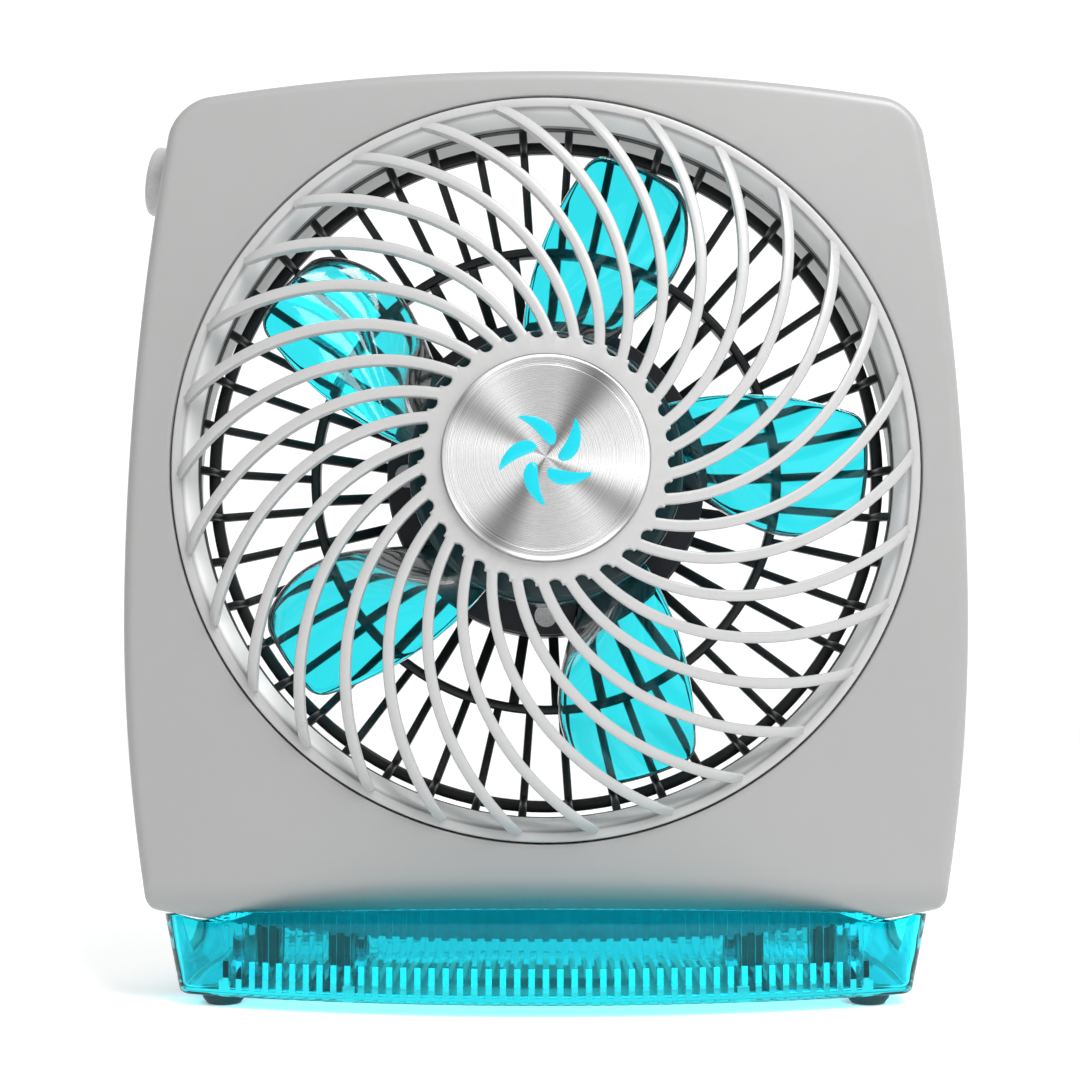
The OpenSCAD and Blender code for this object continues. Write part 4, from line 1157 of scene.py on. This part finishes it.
# ---------- finishes of the parts that keep their own shape
keptFinish = {
    # The front bearing plate takes the steel darkened as painted shade
    "hinge_pins": zincSteel, "friction_washers": nylon, "front_bearing_plate": shadeDarkSteel,
    "stator_core": coreSteel, "stator_coils": copperWire, "front_bearing": bearingBronze,
    "rear_bearing": bearingBronze, "motor_screws": zincSteel, "cover_screws": zincSteel,
    "grille_screws": zincSteel, "housing_screws": zincSteel, "left_hinge_bracket": blackPlastic,
    "right_hinge_bracket": blackPlastic, "bracket_screws": zincSteel, "cord_inlet": blackPlastic,
    "push_switch": blackPlastic, "switch_screws": zincSteel, "motor_shaft": zincSteel,
    "rotor_core": coreSteel, "impeller_nut": zincSteel, "shaft_clip": zincSteel}
keptBevel = {"width": 0.15, "segments": 2, "angle": 40}
for node, material in keptFinish.items():
    obj = frame["nodes"][node]
    obj.data.materials.clear()
    obj.data.materials.append(material)
    weld = obj.modifiers.new("weld", "WELD")
    weld.merge_threshold = 0.000001
    soft = obj.modifiers.new("softEdges", "BEVEL")
    soft.width = keptBevel["width"] * mm
    soft.segments = keptBevel["segments"]
    soft.limit_method = "ANGLE"
    soft.angle_limit = math.radians(keptBevel["angle"])
print("finishes given to the kept parts")


# ---------- the table, the light and the camera
light = {"behind": 1.14, "inFront": 0.1, "overhead": 0.72, "floorGlow": 0.35, "panelLeft": 0.2,
         "panelRight": 6.2, "leftPlace": (-0.55, -0.75, 0.75), "leftSize": 0.5,
         "rightPlace": (0.25, -0.45, 0.62), "rightSize": 0.4, "aim": (0, 0, 0.12)}
stage = {"floorSize": 6.0, "cameraBack": 0.422, "cameraHeight": 0.0637, "cameraPitch": 94.3, "lens": 65.27,
         "shiftX": -0.00556}


def lightPanel(name, place, aim, size, power):
    data = bpy.data.lights.new(name, "AREA")
    data.shape = "RECTANGLE"
    data.size, data.size_y = size, size
    data.energy = power
    obj = bpy.data.objects.new(name, data)
    bpy.context.scene.collection.objects.link(obj)
    obj.location = place
    direction = np.array(aim, float) - np.array(place, float)
    yaw = math.atan2(direction[1], direction[0]) - math.pi / 2
    tilt = math.atan2(direction[2], math.hypot(direction[0], direction[1])) + math.pi / 2
    obj.rotation_euler = (tilt, 0, yaw)


floorMesh = bpy.data.meshes.new("floor")
half = stage["floorSize"] / 2
floorMesh.from_pydata([(-half, -half, 0), (half, -half, 0), (half, half, 0), (-half, half, 0)], [],
                      [(0, 1, 2, 3)])
floor = bpy.data.objects.new("floor", floorMesh)
bpy.context.scene.collection.objects.link(floor)
floorMaterial = plasticMaterial("floor_white", (0.93, 0.93, 0.93), 0.8, grain=0.01, spreadOf=0.004)
floorSkin = next(n for n in floorMaterial.node_tree.nodes if n.type == "BSDF_PRINCIPLED")
floorSkin.inputs["Emission Color"].default_value = (1, 1, 1, 1)
floorSkin.inputs["Emission Strength"].default_value = light["floorGlow"]
floorMesh.materials.append(floorMaterial)
floor.location = (0, 0, -0.00005)

world = bpy.data.worlds.new("studio")
bpy.context.scene.world = world
world.use_nodes = True
skyNodes, skyLinks = world.node_tree.nodes, world.node_tree.links
direction = skyNodes.new("ShaderNodeTexCoord")
parts = skyNodes.new("ShaderNodeSeparateXYZ")
skyLinks.new(direction.outputs["Generated"], parts.inputs[0])
aheadToBehind = spread(skyNodes, skyLinks, parts.outputs[1], light["inFront"], light["behind"], -0.45, 0.6)
upward = spread(skyNodes, skyLinks, parts.outputs[2], 0.0, 1.0, 0.3, 0.95)
skyMix = skyNodes.new("ShaderNodeMix")
skyLinks.new(upward, skyMix.inputs[0])
skyLinks.new(aheadToBehind, skyMix.inputs[2])
skyMix.inputs[3].default_value = light["overhead"]
skyNodes["Background"].inputs[0].default_value = (1, 1, 1, 1)
skyLinks.new(skyMix.outputs[0], skyNodes["Background"].inputs[1])
lightPanel("panelLeft", light["leftPlace"], light["aim"], light["leftSize"], light["panelLeft"])
lightPanel("panelRight", light["rightPlace"], light["aim"], light["rightSize"], light["panelRight"])

cameraData = bpy.data.cameras.new("camera")
cameraData.lens = stage["lens"]
cameraData.sensor_width = 36
cameraData.shift_x = stage["shiftX"]
camera = bpy.data.objects.new("camera", cameraData)
bpy.context.scene.collection.objects.link(camera)
camera.location = (0, -stage["cameraBack"], stage["cameraHeight"])
camera.rotation_euler = (math.radians(stage["cameraPitch"]), 0, 0)
bpy.context.scene.camera = camera
bpy.context.scene.view_settings.view_transform = "Standard"
bpy.context.scene.view_settings.look = "None"
print("light and camera set")
